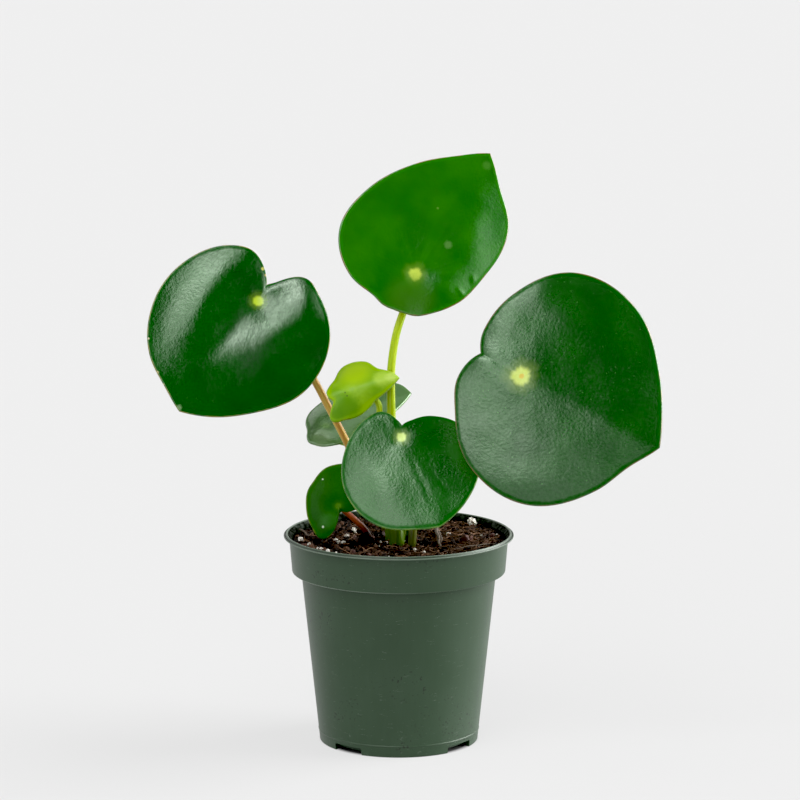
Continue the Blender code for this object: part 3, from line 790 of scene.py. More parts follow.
def pot_finish(settings):
    """Dull green moulded plastic: fine grain, a few scratches and specks, scuffs at its foot, painted
    highlights along the step's ledge and the lip's ridge tops, painted shade in the lip's groove, and painted
    shade with some dirt over the inner wall.
    """
    skin = Finish("moulded green plastic", IOR=1.49, Specular_IOR_Level=0.5, Specular_Tint=PLASTIC_TINT)
    place = skin.place()
    x, y, height = place.split()
    reach = distance(x, y)
    cloud = skin.noise(22, place, 2)
    streak = skin.noise(1.2, skin.stretch(place, (0.5, 0.5, 0.03)), 3)
    grain = skin.noise(0.5, place, 3)

    scuffs = skin.noise(3.0, skin.stretch(place, (1, 1, 1.6)), 4, 0.75).ramp(0.62, 0.72) * height.ramp(14, 3)
    scratch_noise = skin.noise(4.5, skin.stretch(place, (1, 1, 5.0)), 3, 0.6)
    scratches = scratch_noise.ramp(0.674, 0.680) * scratch_noise.ramp(0.694, 0.688)
    specks = skin.noise(1.1, place, 0).ramp(0.70, 0.72) * cloud.ramp(0.50, 0.62)
    # Painted highlight: a pale line along the step's ledge, strongest on the left
    ledge = height.ramp(COLLAR_FOOT - 0.2, COLLAR_FOOT) * height.ramp(COLLAR_FOOT + 0.55, COLLAR_FOOT + 0.3)
    ledge = ledge * x.ramp(25, -25, 0.15, 1.0)
    worn = cloud.ramp(0.3, 0.7) * 0.6 + streak.ramp(0.4, 0.7) * 0.25
    body = skin.mix(worn, settings.colour, settings.worn_colour)
    body = skin.mix(scuffs * 0.45 + scratches * 0.4 + ledge * 0.55, body, settings.scuff_and_highlight_colour)
    body = skin.mix(specks * 0.7, body, SPECK_COLOUR)

    # Painted highlight along the top of each ridge of the lip, and painted shade in the groove between them
    lip = height.ramp(RIM_TOP - LIP_HEIGHT - 0.1, RIM_TOP - LIP_HEIGHT)
    ridge_highlights = reach.ramp(RIDGE_RADIUS + 0.1, RIDGE_RADIUS) + reach.ramp(RIM_RADIUS - 0.3, RIM_RADIUS - 0.05)
    groove = reach.ramp(RIDGE_RADIUS + 0.05, GROOVE_RADIUS) * reach.ramp(RIM_RADIUS - 0.2, GROOVE_RADIUS)
    body = skin.mix(ridge_highlights * lip * 0.4, body, settings.scuff_and_highlight_colour)
    body = skin.mix(groove * lip * 0.9, body, GROOVE_SHADE_COLOUR)

    # Painted shade: faces that look in towards the axis, below the rim's top, get a near black matt cover,
    # varied a little by dirt noise
    face_x, face_y = skin.add("ShaderNodeNewGeometry", output="Normal").split(2)
    shaded_inside = ((face_x * x + face_y * y) / reach).ramp(-0.15, -0.45)
    shaded_inside = shaded_inside * height.ramp(RIM_TOP - 0.1, RIM_TOP - 0.5)
    dirt = skin.noise(2.2, place, 4, 0.65).ramp(0.30, 0.62)
    skin.cover(shaded_inside * (0.7 + 0.3 * dirt), WALL_SHADE_AND_DIRT_COLOUR)
    rough = settings.roughness + (cloud - 0.5) * 0.08 + (grain - 0.5) * 0.12 + scuffs * 0.2
    return skin.done(body, rough, grain * 0.6 + streak * 0.4 + scuffs * 0.3, 0.02)


def soil_height(x, y):
    """Height of the potting mix in mm at a point in mm: the construction's lumps, and grit between them."""
    coarse = noise.noise(Vector((x / LUMP_SIZE, y / LUMP_SIZE, SOIL_SEED)))
    fine = noise.noise(Vector((x / CRUMB_SIZE, y / CRUMB_SIZE, 2 * SOIL_SEED)))
    grit = noise.noise(Vector((x / GRIT_SIZE, y / GRIT_SIZE, 3 * SOIL_SEED)))
    dust = noise.noise(Vector((x / DUST_SIZE, y / DUST_SIZE, 4 * SOIL_SEED)))
    fade = min(1, 2 * (1 - math.hypot(x, y) / BED_RADIUS))
    lumps = (LUMP_RISE * coarse + CRUMB_RISE * fine) * max(0, fade)
    return SOIL_LEVEL - BED_DROP + lumps + GRIT_RISE * (grit - 0.3) + DUST_RISE * dust


def make_bed(radius, rings, sides):
    """The top of the potting mix as a raised disc, built in a fixed order, and the vertices of its edge."""
    bm = bmesh.new()
    inner = [bm.verts.new((0, 0, soil_height(0, 0) * MM))] * sides
    for ring in range(1, rings + 1):
        outer = []
        for side in range(sides):
            turn = FULL_TURN * side / sides
            x, y = (radius * ring / rings * part for part in (math.cos(turn), math.sin(turn)))
            outer.append(bm.verts.new((x * MM, y * MM, soil_height(x, y) * MM)))
        join_rings(bm, inner, outer)
        inner = outer
    return bm, inner


def join_rings(bm, inner, outer):
    """Faces between two rings of vertices, each of which runs counter-clockwise."""
    for side in range(len(outer)):
        after = (side + 1) % len(outer)
        corners = dict.fromkeys((inner[side], outer[side], outer[after], inner[after]))
        bm.faces.new(tuple(corners))


def painted_soil_shade(skin, place, body):
    """Painted shade: near black patches on the potting mix, over a body colour."""
    x, y = place.split(2)
    for shade_x, shade_y, size in SOIL_SHADE_PATCHES:
        off_x, off_y = x - shade_x, y - shade_y
        off = (off_x * off_x + off_y * off_y * 0.2) ** 0.5
        body = skin.mix(off.ramp(size * 1.3, size * 0.7) * 0.92, body, SOIL_SHADE_COLOUR)
    return body


def soil_body_finish(settings):
    """Dark moist peat."""
    skin = Finish("dark peat", Specular_IOR_Level=0.15)
    place = skin.place()
    grain = skin.noise(0.9, place, 4, 0.65)
    body = skin.mix(grain.ramp(0.35, 0.65), shaded(settings.colour, 0.3), settings.colour)
    # The peat is darkened by patches of painted shade
    return skin.done(painted_soil_shade(skin, place, body), 0.8 + (grain - 0.5) * 0.4, grain, 0.25)


def crumb_finish(settings):
    """Crumbs of peat and bark, each with its own shade from near black to brown."""
    skin = Finish("bark crumbs", Specular_IOR_Level=0.15)
    place = skin.place()
    shade = skin.attribute("shade")
    grain = skin.noise(0.6, place, 4, 0.65)
    body = skin.mix(shade.ramp(0.50, 1.0), settings.colour, settings.crumb_colour)
    body = skin.mix(grain.ramp(0.52, 0.75) * shade * 0.5, body, settings.fibre_colour)
    # The crumbs are darkened by the same patches of painted shade
    return skin.done(painted_soil_shade(skin, place, body), 0.7 + grain * 0.25, grain, 0.15)


def chip_finish(settings):
    """Reddish bark with a grain."""
    skin = Finish("red bark", Specular_IOR_Level=0.4)
    grain = skin.noise(1, skin.stretch(skin.place(), (0.5, 1.6, 1.6)), 4, 0.65)
    body = skin.mix(skin.attribute("shade") * 0.6 + grain * 0.4, settings.colour, settings.bark_colour)
    return skin.done(body, 0.6 + grain * 0.3, grain, 0.2)


def fibre_finish(settings):
    """Pale brown roots and coir fibres."""
    skin = Finish("coir fibres", Specular_IOR_Level=0.2)
    grain = skin.noise(0.8, skin.place(), 3)
    pale = skin.attribute("shade").ramp(0.2, 1.0) * 0.8 + (grain - 0.5) * 0.6
    body = skin.mix(pale, shaded(settings.fibre_colour, 0.12), settings.fibre_colour)
    return skin.done(body, 0.6 + grain * 0.25)


def twig_finish():
    """Grey brown twig, streaked along its length."""
    skin = Finish("dry twig", Specular_IOR_Level=0.3)
    side = skin.attribute("section", "Vector").split(1)[0]
    streak = skin.noise(1, skin.vector(side * 4, skin.attribute("run") * 0.3), 4, 0.6)
    body = skin.mix(streak.ramp(0.35, 0.65), *TWIG_COLOURS)
    return skin.done(body, 0.75 + (streak - 0.5) * 0.2, streak, 0.1)


def perlite_finish():
    """White volcanic grains with pits and a little soil on them."""
    skin = Finish("perlite", Specular_IOR_Level=0.4)
    place = skin.place()
    pits = skin.noise(0.45, place, 4, 0.7)
    dirt = skin.noise(1.6, place, 3)
    body = skin.mix(pits.ramp(0.3, 0.6), *PERLITE_COLOURS)
    body = skin.mix(dirt.ramp(0.46, 0.66) * 0.85, body, PERLITE_DIRT_COLOUR)
    return skin.done(body, 0.85 - pits * 0.15, pits, 0.2)


def grain_growth(name, on_faces):
    """Geometry nodes that set rough grains on a surface at random, or at points that know their size."""
    growth = Growth(name, {
        "Density": 100000.0, "Smallest": 0.001, "Largest": 0.002, "Flatness": 0.7, "Roughness": 0.8,
        "Pit Size": 0.001, "Detail": 2, "Seed": 1,
    })
    seed = growth.given("Seed")
    if on_faces:
        points = growth.strew(growth.given("Density"), seed)
        smallest, largest = growth.given("Smallest"), growth.given("Largest")
        size = growth.random(0.0, 1.0, seed) ** 2.0 * (largest - smallest) + smallest
    else:
        points = growth.given("Geometry")
        size = growth.stored_size()
    turn = growth.random((0.0, 0.0, 0.0), (FULL_TURN, FULL_TURN, FULL_TURN), seed, "FLOAT_VECTOR")
    shade = growth.random(0.0, 1.0, seed + 7)
    ball = {"Radius": 0.5, "Subdivisions": growth.given("Detail")}
    grain = growth.add("GeometryNodeMeshIcoSphere", ball, "Mesh")
    scale = growth.vector(size, size * GRAIN_WIDTH, size * growth.given("Flatness"))
    grains = growth.plant(points, grain, turn, scale, {"size": size, "shade": shade})
    offset = growth.drift(1 / growth.given("Pit Size"), 2.0, growth.stored_size() * growth.given("Roughness"))
    return growth.close(growth.add("GeometryNodeSetPosition", {"Geometry": grains, "Offset": offset}))


def fibre_growth():
    """Geometry nodes that lay thin bent fibres on a surface, more of them towards its thick side."""
    growth = Growth("coir fibre scatter", {
        "Density": 30000.0, "Length": 0.008, "Thickness": 0.0002, "Bend": 0.006, "Lift": 0.001,
        "Tilt": 0.35, "Thin Side": -0.02, "Thick Side": 0.03, "Seed": 1,
    })
    seed, tilt, half = growth.given("Seed"), growth.given("Tilt"), growth.given("Length") * 0.5
    along_x = growth.add("GeometryNodeInputPosition").split(1)[0]
    share = along_x.ramp(growth.given("Thin Side"), growth.given("Thick Side"), THIN_SHARE, 1.0)
    points = growth.strew(growth.given("Density") * share, seed)
    low, high = growth.vector(0.0, tilt * -1), growth.vector(0.0, tilt, FULL_TURN)
    turn = growth.random(low, high, seed, "FLOAT_VECTOR")
    size = growth.random(0.3, 1.0, seed + 3)
    shade = growth.random(0.0, 1.0, seed + 5)
    ends = {"Start": growth.vector(half * -1), "End": growth.vector(half)}
    line = growth.add("GeometryNodeCurvePrimitiveLine", ends)
    line = growth.add("GeometryNodeResampleCurve", {"Curve": line, "Count": FIBRE_POINTS})
    fibres = growth.plant(points, line, turn, growth.vector(size, size, size), {"shade": shade})
    offset = growth.stretch(growth.drift(FIBRE_WAVES, 1.0, growth.given("Bend")), (1.0, 1.0, 0.4))
    offset = growth.vector_math("ADD", {0: offset, 1: growth.vector(0.0, 0.0, growth.given("Lift"))})
    bent = growth.add("GeometryNodeSetPosition", {"Geometry": fibres, "Offset": offset})
    section = {"Resolution": 4, "Radius": growth.given("Thickness") * 0.5}
    ring = growth.add("GeometryNodeCurvePrimitiveCircle", section)
    tube = {"Curve": bent, "Profile Curve": ring, "Fill Caps": True}
    return growth.close(growth.add("GeometryNodeCurveToMesh", tube))


def stem_growth():
    """Geometry nodes that lay a round stem along a curve, whose points give its radius."""
    growth = Growth("stem tube", {"Sides": STEM_SIDES, "Step": STEM_STEP * MM})
    route = {"Curve": growth.given("Geometry"), "Length": growth.given("Step")}
    path = growth.add("GeometryNodeResampleCurve", route, mode="LENGTH")
    path = growth.store(path, "run", growth.add("GeometryNodeSplineParameter", output="Length") / MM)
    section = {"Resolution": growth.given("Sides"), "Radius": MM}
    ring = growth.add("GeometryNodeCurvePrimitiveCircle", section)
    on_ring = growth.stretch(growth.add("GeometryNodeInputPosition"), (1 / MM, 1 / MM, 0.0))
    ring = growth.store(ring, "section", on_ring, "FLOAT_VECTOR")
    radius = growth.add("GeometryNodeInputRadius")
    tube = {"Curve": path, "Profile Curve": ring, "Scale": radius, "Fill Caps": True}
    return growth.close(growth.add("GeometryNodeCurveToMesh", tube))


def grow_mix(growth, seed, finish, **values):
    """Runs a growth on its seed, as one piece of the potting mix."""
    inputs = {label.replace("_", " "): value for label, value in values.items()}
    settle(growth.grow(seed, {**inputs, "Finish": finish}), "potting_mix")


def scatter(growth, name, inset, finish, **values):
    """Grows a piece on the top of the potting mix, up to inset in mm from its edge."""
    bed = add_bmesh(name, make_bed(BED_RADIUS - inset, SCATTER_RINGS, SCATTER_SIDES)[0])
    grow_mix(growth, bed, finish, **values)


def make_curve(name, stations):
    """A curve through stations of a place and a radius in mm, as seed for a round stem."""
    curve = bpy.data.curves.new(name, "CURVE")
    curve.dimensions = "3D"
    spline = curve.splines.new("POLY")
    spline.points.add(len(stations) - 1)
    for point, (place, radius) in zip(spline.points, stations):
        point.co = (*(place * MM), 1)
        point.radius = radius
    return add_object(name, curve)


def stem_route(leaf):
    """The stem's points in mm: straight out of its hole, along the route and square on to the blade."""
    out = leaf.axes()[0]
    x, y, _ = leaf.route[0]
    foot = Vector((x, y, SOIL_LEVEL - HOLE_DEPTH + CLEARANCE))
    mouth = Vector((x, y, SOIL_LEVEL - LUMP_RISE))
    seat = Vector(leaf.at) - out * (DIMPLE_DEPTH + BLADE_THICKNESS + CLEARANCE)
    neck = seat - out * STEM_NECK
    return [foot, mouth] + [Vector(point) for point in leaf.route] + [neck, seat]


def make_stem(leaf, growth, settings):
    """The curve through a stem's route, turned into its tube."""
    points = stem_route(leaf)
    places = [0]
    for before, after in zip(points, points[1:]):
        places.append(places[-1] + (after - before).length)
    last = ROUTE_STEPS * len(points) - 1
    stations = []
    for share in (step / last for step in range(last + 1)):
        radius = leaf.top_radius + (leaf.foot_radius - leaf.top_radius) * (1 - share) ** TAPER_POWER
        stations.append((smooth_value(places, points, share * places[-1]), radius))
    seed = make_curve(f"petiole_{leaf.name}", stations)
    return growth.grow(seed, {"Sides": settings.sides, "Step": settings.step, "Finish": stem_finish(leaf)})


def stem_finish(leaf):
    """Juicy green to tan stem skin, streaked along its length, and darkened near its foot by painted shade."""
    skin = Finish(f"stem skin {leaf.name}", Specular_IOR_Level=0.2)
    run = skin.attribute("run")
    side, front = skin.attribute("section", "Vector").split(2)
    streak = skin.noise(1, skin.vector(side * 2.2, front * 2.2, run * 0.04 + leaf.look_seed), 3)
    speck = skin.noise(0.35, skin.vector(side * 1.5, front * 1.5, run * 0.6 + leaf.look_seed), 2)
    body = skin.mix(streak.ramp(0.42, 0.62), leaf.stem_colour, leaf.stem_stripe)
    body = skin.mix(speck.ramp(0.60, 0.75) * 0.35, body, shaded(leaf.stem_colour, 0.5))
    # Painted shade: each stem turns darker towards its foot
    foot = tuple(channel * shade for channel, shade in zip(leaf.stem_colour, FOOT_PAINTED_SHADE))
    body = skin.mix(run.ramp(leaf.foot_end + 16, leaf.foot_end + 2) * 0.9, body, foot)
    return skin.done(body, 0.34 + (speck - 0.5) * 0.2, streak, 0.05)


def blade_height(leaf, radius, angle, edge):
    """Height of the upper face over the plane through the leaf's holding point, in mm."""
    along, across = radius * math.cos(angle), radius * math.sin(angle)
    share = radius / edge
    height = -leaf.dome * share**2
    height += leaf.crease * (math.hypot(across, CREASE_ROUND) - CREASE_ROUND)
    height += leaf.wave * share**3 * math.sin(leaf.waves * angle + math.radians(leaf.wave_turn))
    height -= leaf.droop * (max(0, along) / leaf.left[0]) ** 3
    for bearing, spread, rise in leaf.folds:
        off = (math.degrees(angle) - bearing + 180) % 360 - 180
        height += rise * share * math.exp(-((off / spread) ** 2))
    for place_along, place_across, half_along, half_across, rise in leaf.swells:
        off = ((along - place_along) / half_along) ** 2 + ((across - place_across) / half_across) ** 2
        height += rise * math.exp(-off)
    return height - DIMPLE_DEPTH * math.exp(-((radius / DIMPLE_RADIUS) ** 2))


def fine_relief(leaf, radius, angle):
    """Soft humps, ripples and sunken veins on top of the blade's main form, in mm."""
    along, across = radius * math.cos(angle), radius * math.sin(angle)
    height = 0.0
    calm = 1 - math.exp(-((radius / CALM_RADIUS) ** 2))
    for place_along, place_across, half_long, half_wide, turn, rise in leaf.relief:
        cosine, sine = math.cos(math.radians(turn)), math.sin(math.radians(turn))
        u = (along - place_along) * cosine + (across - place_across) * sine
        v = (across - place_across) * cosine - (along - place_along) * sine
        height += calm * rise * math.exp(-((u / half_long) ** 2) - (v / half_wide) ** 2)
    place = Vector((along / RIPPLE_SIZE, across / RIPPLE_SIZE, leaf.look_seed))
    height += leaf.ripple * noise.noise(place)
    height += 0.3 * leaf.ripple * noise.noise(place * FINE_RIPPLE)
    for bearing in leaf.vein_bearings:
        off = (math.degrees(angle) - bearing + 180) % 360 - 180
        if abs(off) < VEIN_REACH:
            aside = radius * math.sin(math.radians(off)) / VEIN_WIDTH
            height -= leaf.vein_depth * math.exp(-aside * aside) * min(1, radius / VEIN_START)
    return height


def blade_rows():
    """Rows of a blade's section, from its middle out over the rim and back: share and rim angle."""
    rows = [(ring / FACE_RINGS, 0.0) for ring in range(FACE_RINGS + 1)]
    rows += [(1.0, math.pi * step / RIM_STEPS) for step in range(1, RIM_STEPS + 1)]
    rows += [(1 - ring / UNDER_RINGS, math.pi) for ring in range(1, UNDER_RINGS + 1)]
    return rows


def margin(leaf, turn):
    """Angle from the tip and radius of the margin in mm, at a turn in radians."""
    on_left = turn <= math.pi
    sweep = turn / math.pi if on_left else 2 - turn / math.pi
    notch = math.radians(leaf.notch)
    angle = sweep * notch if on_left else -sweep * (FULL_TURN - notch)
    return angle, smooth_value(SWEEP, leaf.left if on_left else leaf.right, sweep)


def make_blade(leaf):
    """A closed blade: a grid wrapped over the upper face, the round rim and the underside."""
    rows = blade_rows()
    out, tip, side = leaf.axes()
    half = BLADE_THICKNESS / 2
    bm = bmesh.new()
    bmesh.ops.create_grid(bm, x_segments=BLADE_SECTORS, y_segments=len(rows) - 1, size=0.5)
    layers = [bm.verts.layers.float.new(name) for name in BLADE_MEASURES]
    columns = [margin(leaf, FULL_TURN * number / BLADE_SECTORS) for number in range(BLADE_SECTORS)]
    for vert in bm.verts:
        column = round((vert.co.x + 0.5) * BLADE_SECTORS) % BLADE_SECTORS
        share, rim = rows[round((vert.co.y + 0.5) * (len(rows) - 1))]
        angle, edge = columns[column]
        radius = share * (edge - half) + half * math.sin(rim)
        height = blade_height(leaf, radius, angle, edge) + fine_relief(leaf, radius, angle)
        depth = half * (1 - math.cos(rim))
        along, across = radius * math.cos(angle), radius * math.sin(angle)
        vert.co = (Vector(leaf.at) + tip * along + side * across + out * (height - depth)) * MM
        for layer, measure in zip(layers, (along, across, edge - radius, (1 + math.cos(rim)) / 2)):
            vert[layer] = measure
    bmesh.ops.remove_doubles(bm, verts=bm.verts, dist=0.0000001)
    bmesh.ops.recalc_face_normals(bm, faces=bm.faces)
    blade = add_bmesh(f"blade_{leaf.name}", bm)
    blade.data.shade_smooth()
    blade.data.materials.append(blade_finish(leaf, bpy.context.scene.peperomia_leaves))
    return blade


def blade_finish(leaf, settings):
    """Waxy leaf skin: mottled green with faint veins, a pale star at the stem, flecks, and patches of which
    some are painted sheen, light and shade.

    The margin has a thin line and a dull rim, and the underside is paler.
    """
    skin = Finish(f"leaf skin {leaf.name}", Specular_IOR_Level=leaf.wax, Specular_Tint=SHEEN_TINT,
                  Coat_Roughness=POLISH_ROUGHNESS)
    along, across, inset, upper = (skin.attribute(name) for name in BLADE_MEASURES)
    flat = skin.vector(along, across, leaf.look_seed * 7)
    reach = distance(along, across)
    bearing = across.math("ARCTAN2", along)
    ray_x, ray_y = bearing.math("COSINE"), bearing.math("SINE")

    clouds = skin.noise(16, flat, 2)
    mottle = skin.noise(1.2, flat, 3, 0.6)
    wrinkles = skin.noise(4.5, flat, 2)
    rays = skin.noise(1, skin.vector(ray_x * 3.6, ray_y * 3.6, reach * 0.02 + leaf.look_seed), 3)
    body = skin.mix(clouds.ramp(0.3, 0.7) * 0.8 + (mottle - 0.5) * 0.5, leaf.deep, leaf.bright)
    pale = tuple(min(1, channel * 1.5 + 0.01) for channel in leaf.bright)
    body = skin.mix(rays.ramp(0.50, 0.66) * reach.ramp(50, 5) * leaf.vein_show, body, pale)

    wobble = skin.noise(1, skin.vector(ray_x * 1.8, ray_y * 1.8, leaf.look_seed), 2)
    glow = reach / (settings.spot_scale * leaf.spot_radius * (0.7 + wobble * 0.6))
    halo = tuple(green + 0.35 * (spot - green) for green, spot in zip(leaf.bright, leaf.spot))
    body = skin.mix(glow.ramp(2.3, 0.9) * 0.5, body, halo)
    body = skin.mix(glow.ramp(1.2, 0.6), body, leaf.spot)
    unmarked = 1.0
    # Marked patches: some are real specks, others painted sheen, painted light on lit facets and painted shade
    # on shaded halves
    for mark_along, mark_across, size, colour in leaf.marks_and_painted_light:
        ragged = (mottle + clouds - 1.0) * min(size, 3)
        off = distance(along - mark_along, across - mark_across) + ragged
        mark = off.ramp(size * 1.4, size * 0.5) * 0.85
        body = skin.mix(mark, body, colour)
        unmarked = unmarked * (1 - mark)

    if leaf.flecks:
        dots = skin.noise(1.1, flat, 0).ramp(0.79, 0.85)
        body = skin.mix(dots * leaf.flecks, body, FLECK_COLOUR)
    rim_noise = skin.noise(5, flat, 2)
    body = skin.mix(inset.ramp(1.9, 0.5) * 0.25, body, pale)
    body = skin.mix(inset.ramp(0.65, 0.3) * rim_noise.ramp(0.35, 0.6) * 0.8, body, leaf.edge)
    under = skin.mix(mottle.ramp(0.3, 0.7), settings.under_deep, settings.under_colour)
    under = skin.mix(rays.ramp(0.5, 0.62) * 0.4, under, UNDER_RAY_COLOUR)
    body = skin.mix(upper.ramp(0.35, 0.65), under, body)

    on_top = upper.ramp(0.7, 0.9)
    matt_rim = (inset + (rim_noise - 0.5) * 1.6).ramp(2.6, 1.2) * inset.ramp(0.3, 0.8)
    pits = mottle.ramp(0.6, 0.4) * glow.ramp(0.8, 1.4) * leaf.pores
    skin.cover((matt_rim * 0.75 + pits) * on_top * unmarked, leaf.bright)
    if leaf.polish:
        near, far, down, share = leaf.polish
        glossy = across.ramp(*near) * across.ramp(*far) * along.ramp(*down)
        skin.set("Coat Weight", glossy * on_top * share)
    slant, calm_from = leaf.calm
    uneven = (across + along * slant).ramp(calm_from + CALM_FADE, calm_from - CALM_FADE, 0.3, 1.0)
    rough = leaf.gloss + (mottle - 0.5) * 0.14 + (1 - upper) * 0.2
    return skin.done(body, rough, (mottle + wrinkles * 0.6) * uneven, leaf.grain)


def zone(angle, start, end, soft):
    """1 between two angles in degrees, with soft edges."""
    return angle.ramp(start - soft, start + soft) * angle.ramp(end + soft, end - soft)


def make_world(settings):
    """Soft light from a wall and a high lamp at the left, a panel at the right and a strong one beyond it.

    The camera sees a plain backdrop instead.
    """
    world = bpy.data.worlds.new("pale studio")
    bpy.context.scene.world = world
    world.use_nodes = True
    world.node_tree.nodes.clear()
    sky = Tree(world.node_tree)
    x, y, z = sky.add("ShaderNodeTexCoord", output="Generated").split()
    azimuth = x.math("ARCTAN2", y * -1) * (180 / math.pi)
    height = z.math("ARCSINE") * (180 / math.pi)
    soft = settings.softness
    below_lamp = height.ramp(LAMP_FOOT + soft, LAMP_FOOT - soft)
    above_lamp = height.ramp(LAMP_TOP - soft, LAMP_TOP + soft)
    panels = (1 - zone(azimuth, *ALL_PANELS, soft)) * settings.behind
    for name, start, end in PANELS:
        panels = panels + zone(azimuth, start, end, soft) * getattr(settings, name)
    lamp = zone(azimuth, *LAMP_SIDES, soft) * (1 - below_lamp) * (1 - above_lamp) * settings.lamp
    light = panels * below_lamp + above_lamp * settings.top + lamp + REST_LIGHT
    lit = sky.add("ShaderNodeBackground", {"Color": WHITE, "Strength": light})
    plain = sky.add("ShaderNodeBackground", {"Color": WHITE, "Strength": settings.backdrop})
    seen = sky.add("ShaderNodeLightPath", output="Is Camera Ray")
    both = sky.add("ShaderNodeMixShader", {0: seen, 1: lit, 2: plain})
    sky.add("ShaderNodeOutputWorld", {"Surface": both})


def make_floor(settings):
    """A wide pale floor, lit from within except under the pot."""
    bm = bmesh.new()
    bmesh.ops.create_grid(bm, x_segments=1, y_segments=1, size=FLOOR_HALF)
    floor = add_bmesh("floor", bm)
    skin = Finish("pale floor", Specular_IOR_Level=0.0, Emission_Strength=settings.floor_glow)
    reach = distance(*skin.place().split(2))
    open_floor = reach.ramp(BODY_FOOT_RADIUS - 3, BODY_FOOT_RADIUS + 1)
    skin.set("Emission Color", skin.mix(open_floor, BLACK, WHITE))
    floor.data.materials.append(skin.done((settings.floor_grey,) * 3, 0.9))


def make_camera():
    data = bpy.data.cameras.new("camera")
    data.sensor_width = SENSOR_WIDTH
    data.lens = CAMERA_LENS
    data.clip_start, data.clip_end = CAMERA_RANGE
    camera = add_object("camera", data)
    camera.location = CAMERA_PLACE
    camera.rotation_euler = (math.radians(90 - CAMERA_PITCH), 0, 0)
    bpy.context.scene.camera = camera


def make_twig(name, start, end, thickness):
    """A bent curve along the potting mix between two places in mm, as seed for a round stem."""
    first, last = Vector(start), Vector(end)
    stations = []
    for share in (step / TWIG_STEPS for step in range(TWIG_STEPS + 1)):
        bend = Vector([noise.noise(Vector((start[0], share * 3, layer))) for layer in TWIG_LAYERS])
        bend *= TWIG_BEND
        x, y = first.lerp(last, share) + bend.xy
        place = Vector((x, y, SOIL_LEVEL + 0.5 + thickness / 2 + bend.z))
        stations.append((place, thickness / 2 * (1.15 - 0.5 * share)))
    return make_curve(name, stations)


def place_points(name, grains):
    """Loose points on the potting mix, each with its grain's size, in metres."""
    bm = bmesh.new()
    size_layer = bm.verts.layers.float.new("size")
    for x, y, size in grains:
        vert = bm.verts.new((x * MM, y * MM, (soil_height(x, y) + 0.25 * size) * MM))
        vert[size_layer] = size * MM
    return add_bmesh(name, bm)


COLOUR = {"subtype": "COLOR", "min": 0, "max": 1}


class PotSettings(bpy.types.PropertyGroup):
    """What a user would change about the pot."""

    colour: FloatVectorProperty(
        name="Plastic", description="Colour of the moulded plastic", default=(0.017, 0.038, 0.0175), **COLOUR
    )
    worn_colour: FloatVectorProperty(
        name="Worn plastic", description="Colour of paler patches", default=(0.023, 0.046, 0.024), **COLOUR
    )
    # Besides scuffs and scratches, this colour paints the highlights along the step's ledge and on the lip's
    # ridge tops
    scuff_and_highlight_colour: FloatVectorProperty(
        name="Scuffs", description="Colour of scuffs, scratches and the dusty ledge",
        default=(0.170, 0.210, 0.170), **COLOUR
    )
    roughness: FloatProperty(
        name="Roughness", description="Roughness of the plastic", subtype="FACTOR", min=0, max=1, default=0.42
    )


class SoilSettings(bpy.types.PropertyGroup):
    """What a user would change about the potting mix."""

    colour: FloatVectorProperty(
        name="Peat", description="Colour of the peat", default=(0.005, 0.0027, 0.0018), **COLOUR
    )
    crumb_colour: FloatVectorProperty(
        name="Crumbs", description="Colour of the palest crumbs", default=(0.080, 0.042, 0.027), **COLOUR
    )
    bark_colour: FloatVectorProperty(
        name="Bark", description="Colour of reddish bark chips", default=(0.100, 0.036, 0.026), **COLOUR
    )
    fibre_colour: FloatVectorProperty(
        name="Fibres", description="Colour of roots and coir fibres", default=(0.270, 0.145, 0.082), **COLOUR
    )
    crumb_size: FloatProperty(
        name="Crumb size", description="Size of the largest crumbs", subtype="DISTANCE", unit="LENGTH",
        min=0.0005, max=0.005, default=2.6 * MM
    )
    fibre_length: FloatProperty(
        name="Fibre length", description="Length of the longest fibres", subtype="DISTANCE", unit="LENGTH",
        min=0.002, max=0.02, default=9 * MM
    )
    seed: IntProperty(name="Seed", description="Seed of the scattered grains", min=0, default=4)


class StemSettings(bpy.types.PropertyGroup):
    """What a user would change about the stems."""

    step: FloatProperty(
        name="Ring spacing", description="Distance between the rings of a stem's mesh", subtype="DISTANCE",
        unit="LENGTH", min=0.0002, max=0.005, default=STEM_STEP * MM
    )
    sides: IntProperty(name="Sides", description="Sides of a stem's mesh", min=8, max=64, default=STEM_SIDES)


class LeafSettings(bpy.types.PropertyGroup):
    """What a user would change about the leaves."""

    under_colour: FloatVectorProperty(
        name="Underside", description="Colour of the undersides", default=(0.190, 0.300, 0.090), **COLOUR
    )
    under_deep: FloatVectorProperty(
        name="Underside mottle", description="Their darker colour", default=(0.130, 0.230, 0.060), **COLOUR
    )
    spot_scale: FloatProperty(
        name="Spot size", description="Scale of the pale star at the stem", min=0.2, max=3, default=1.0
    )


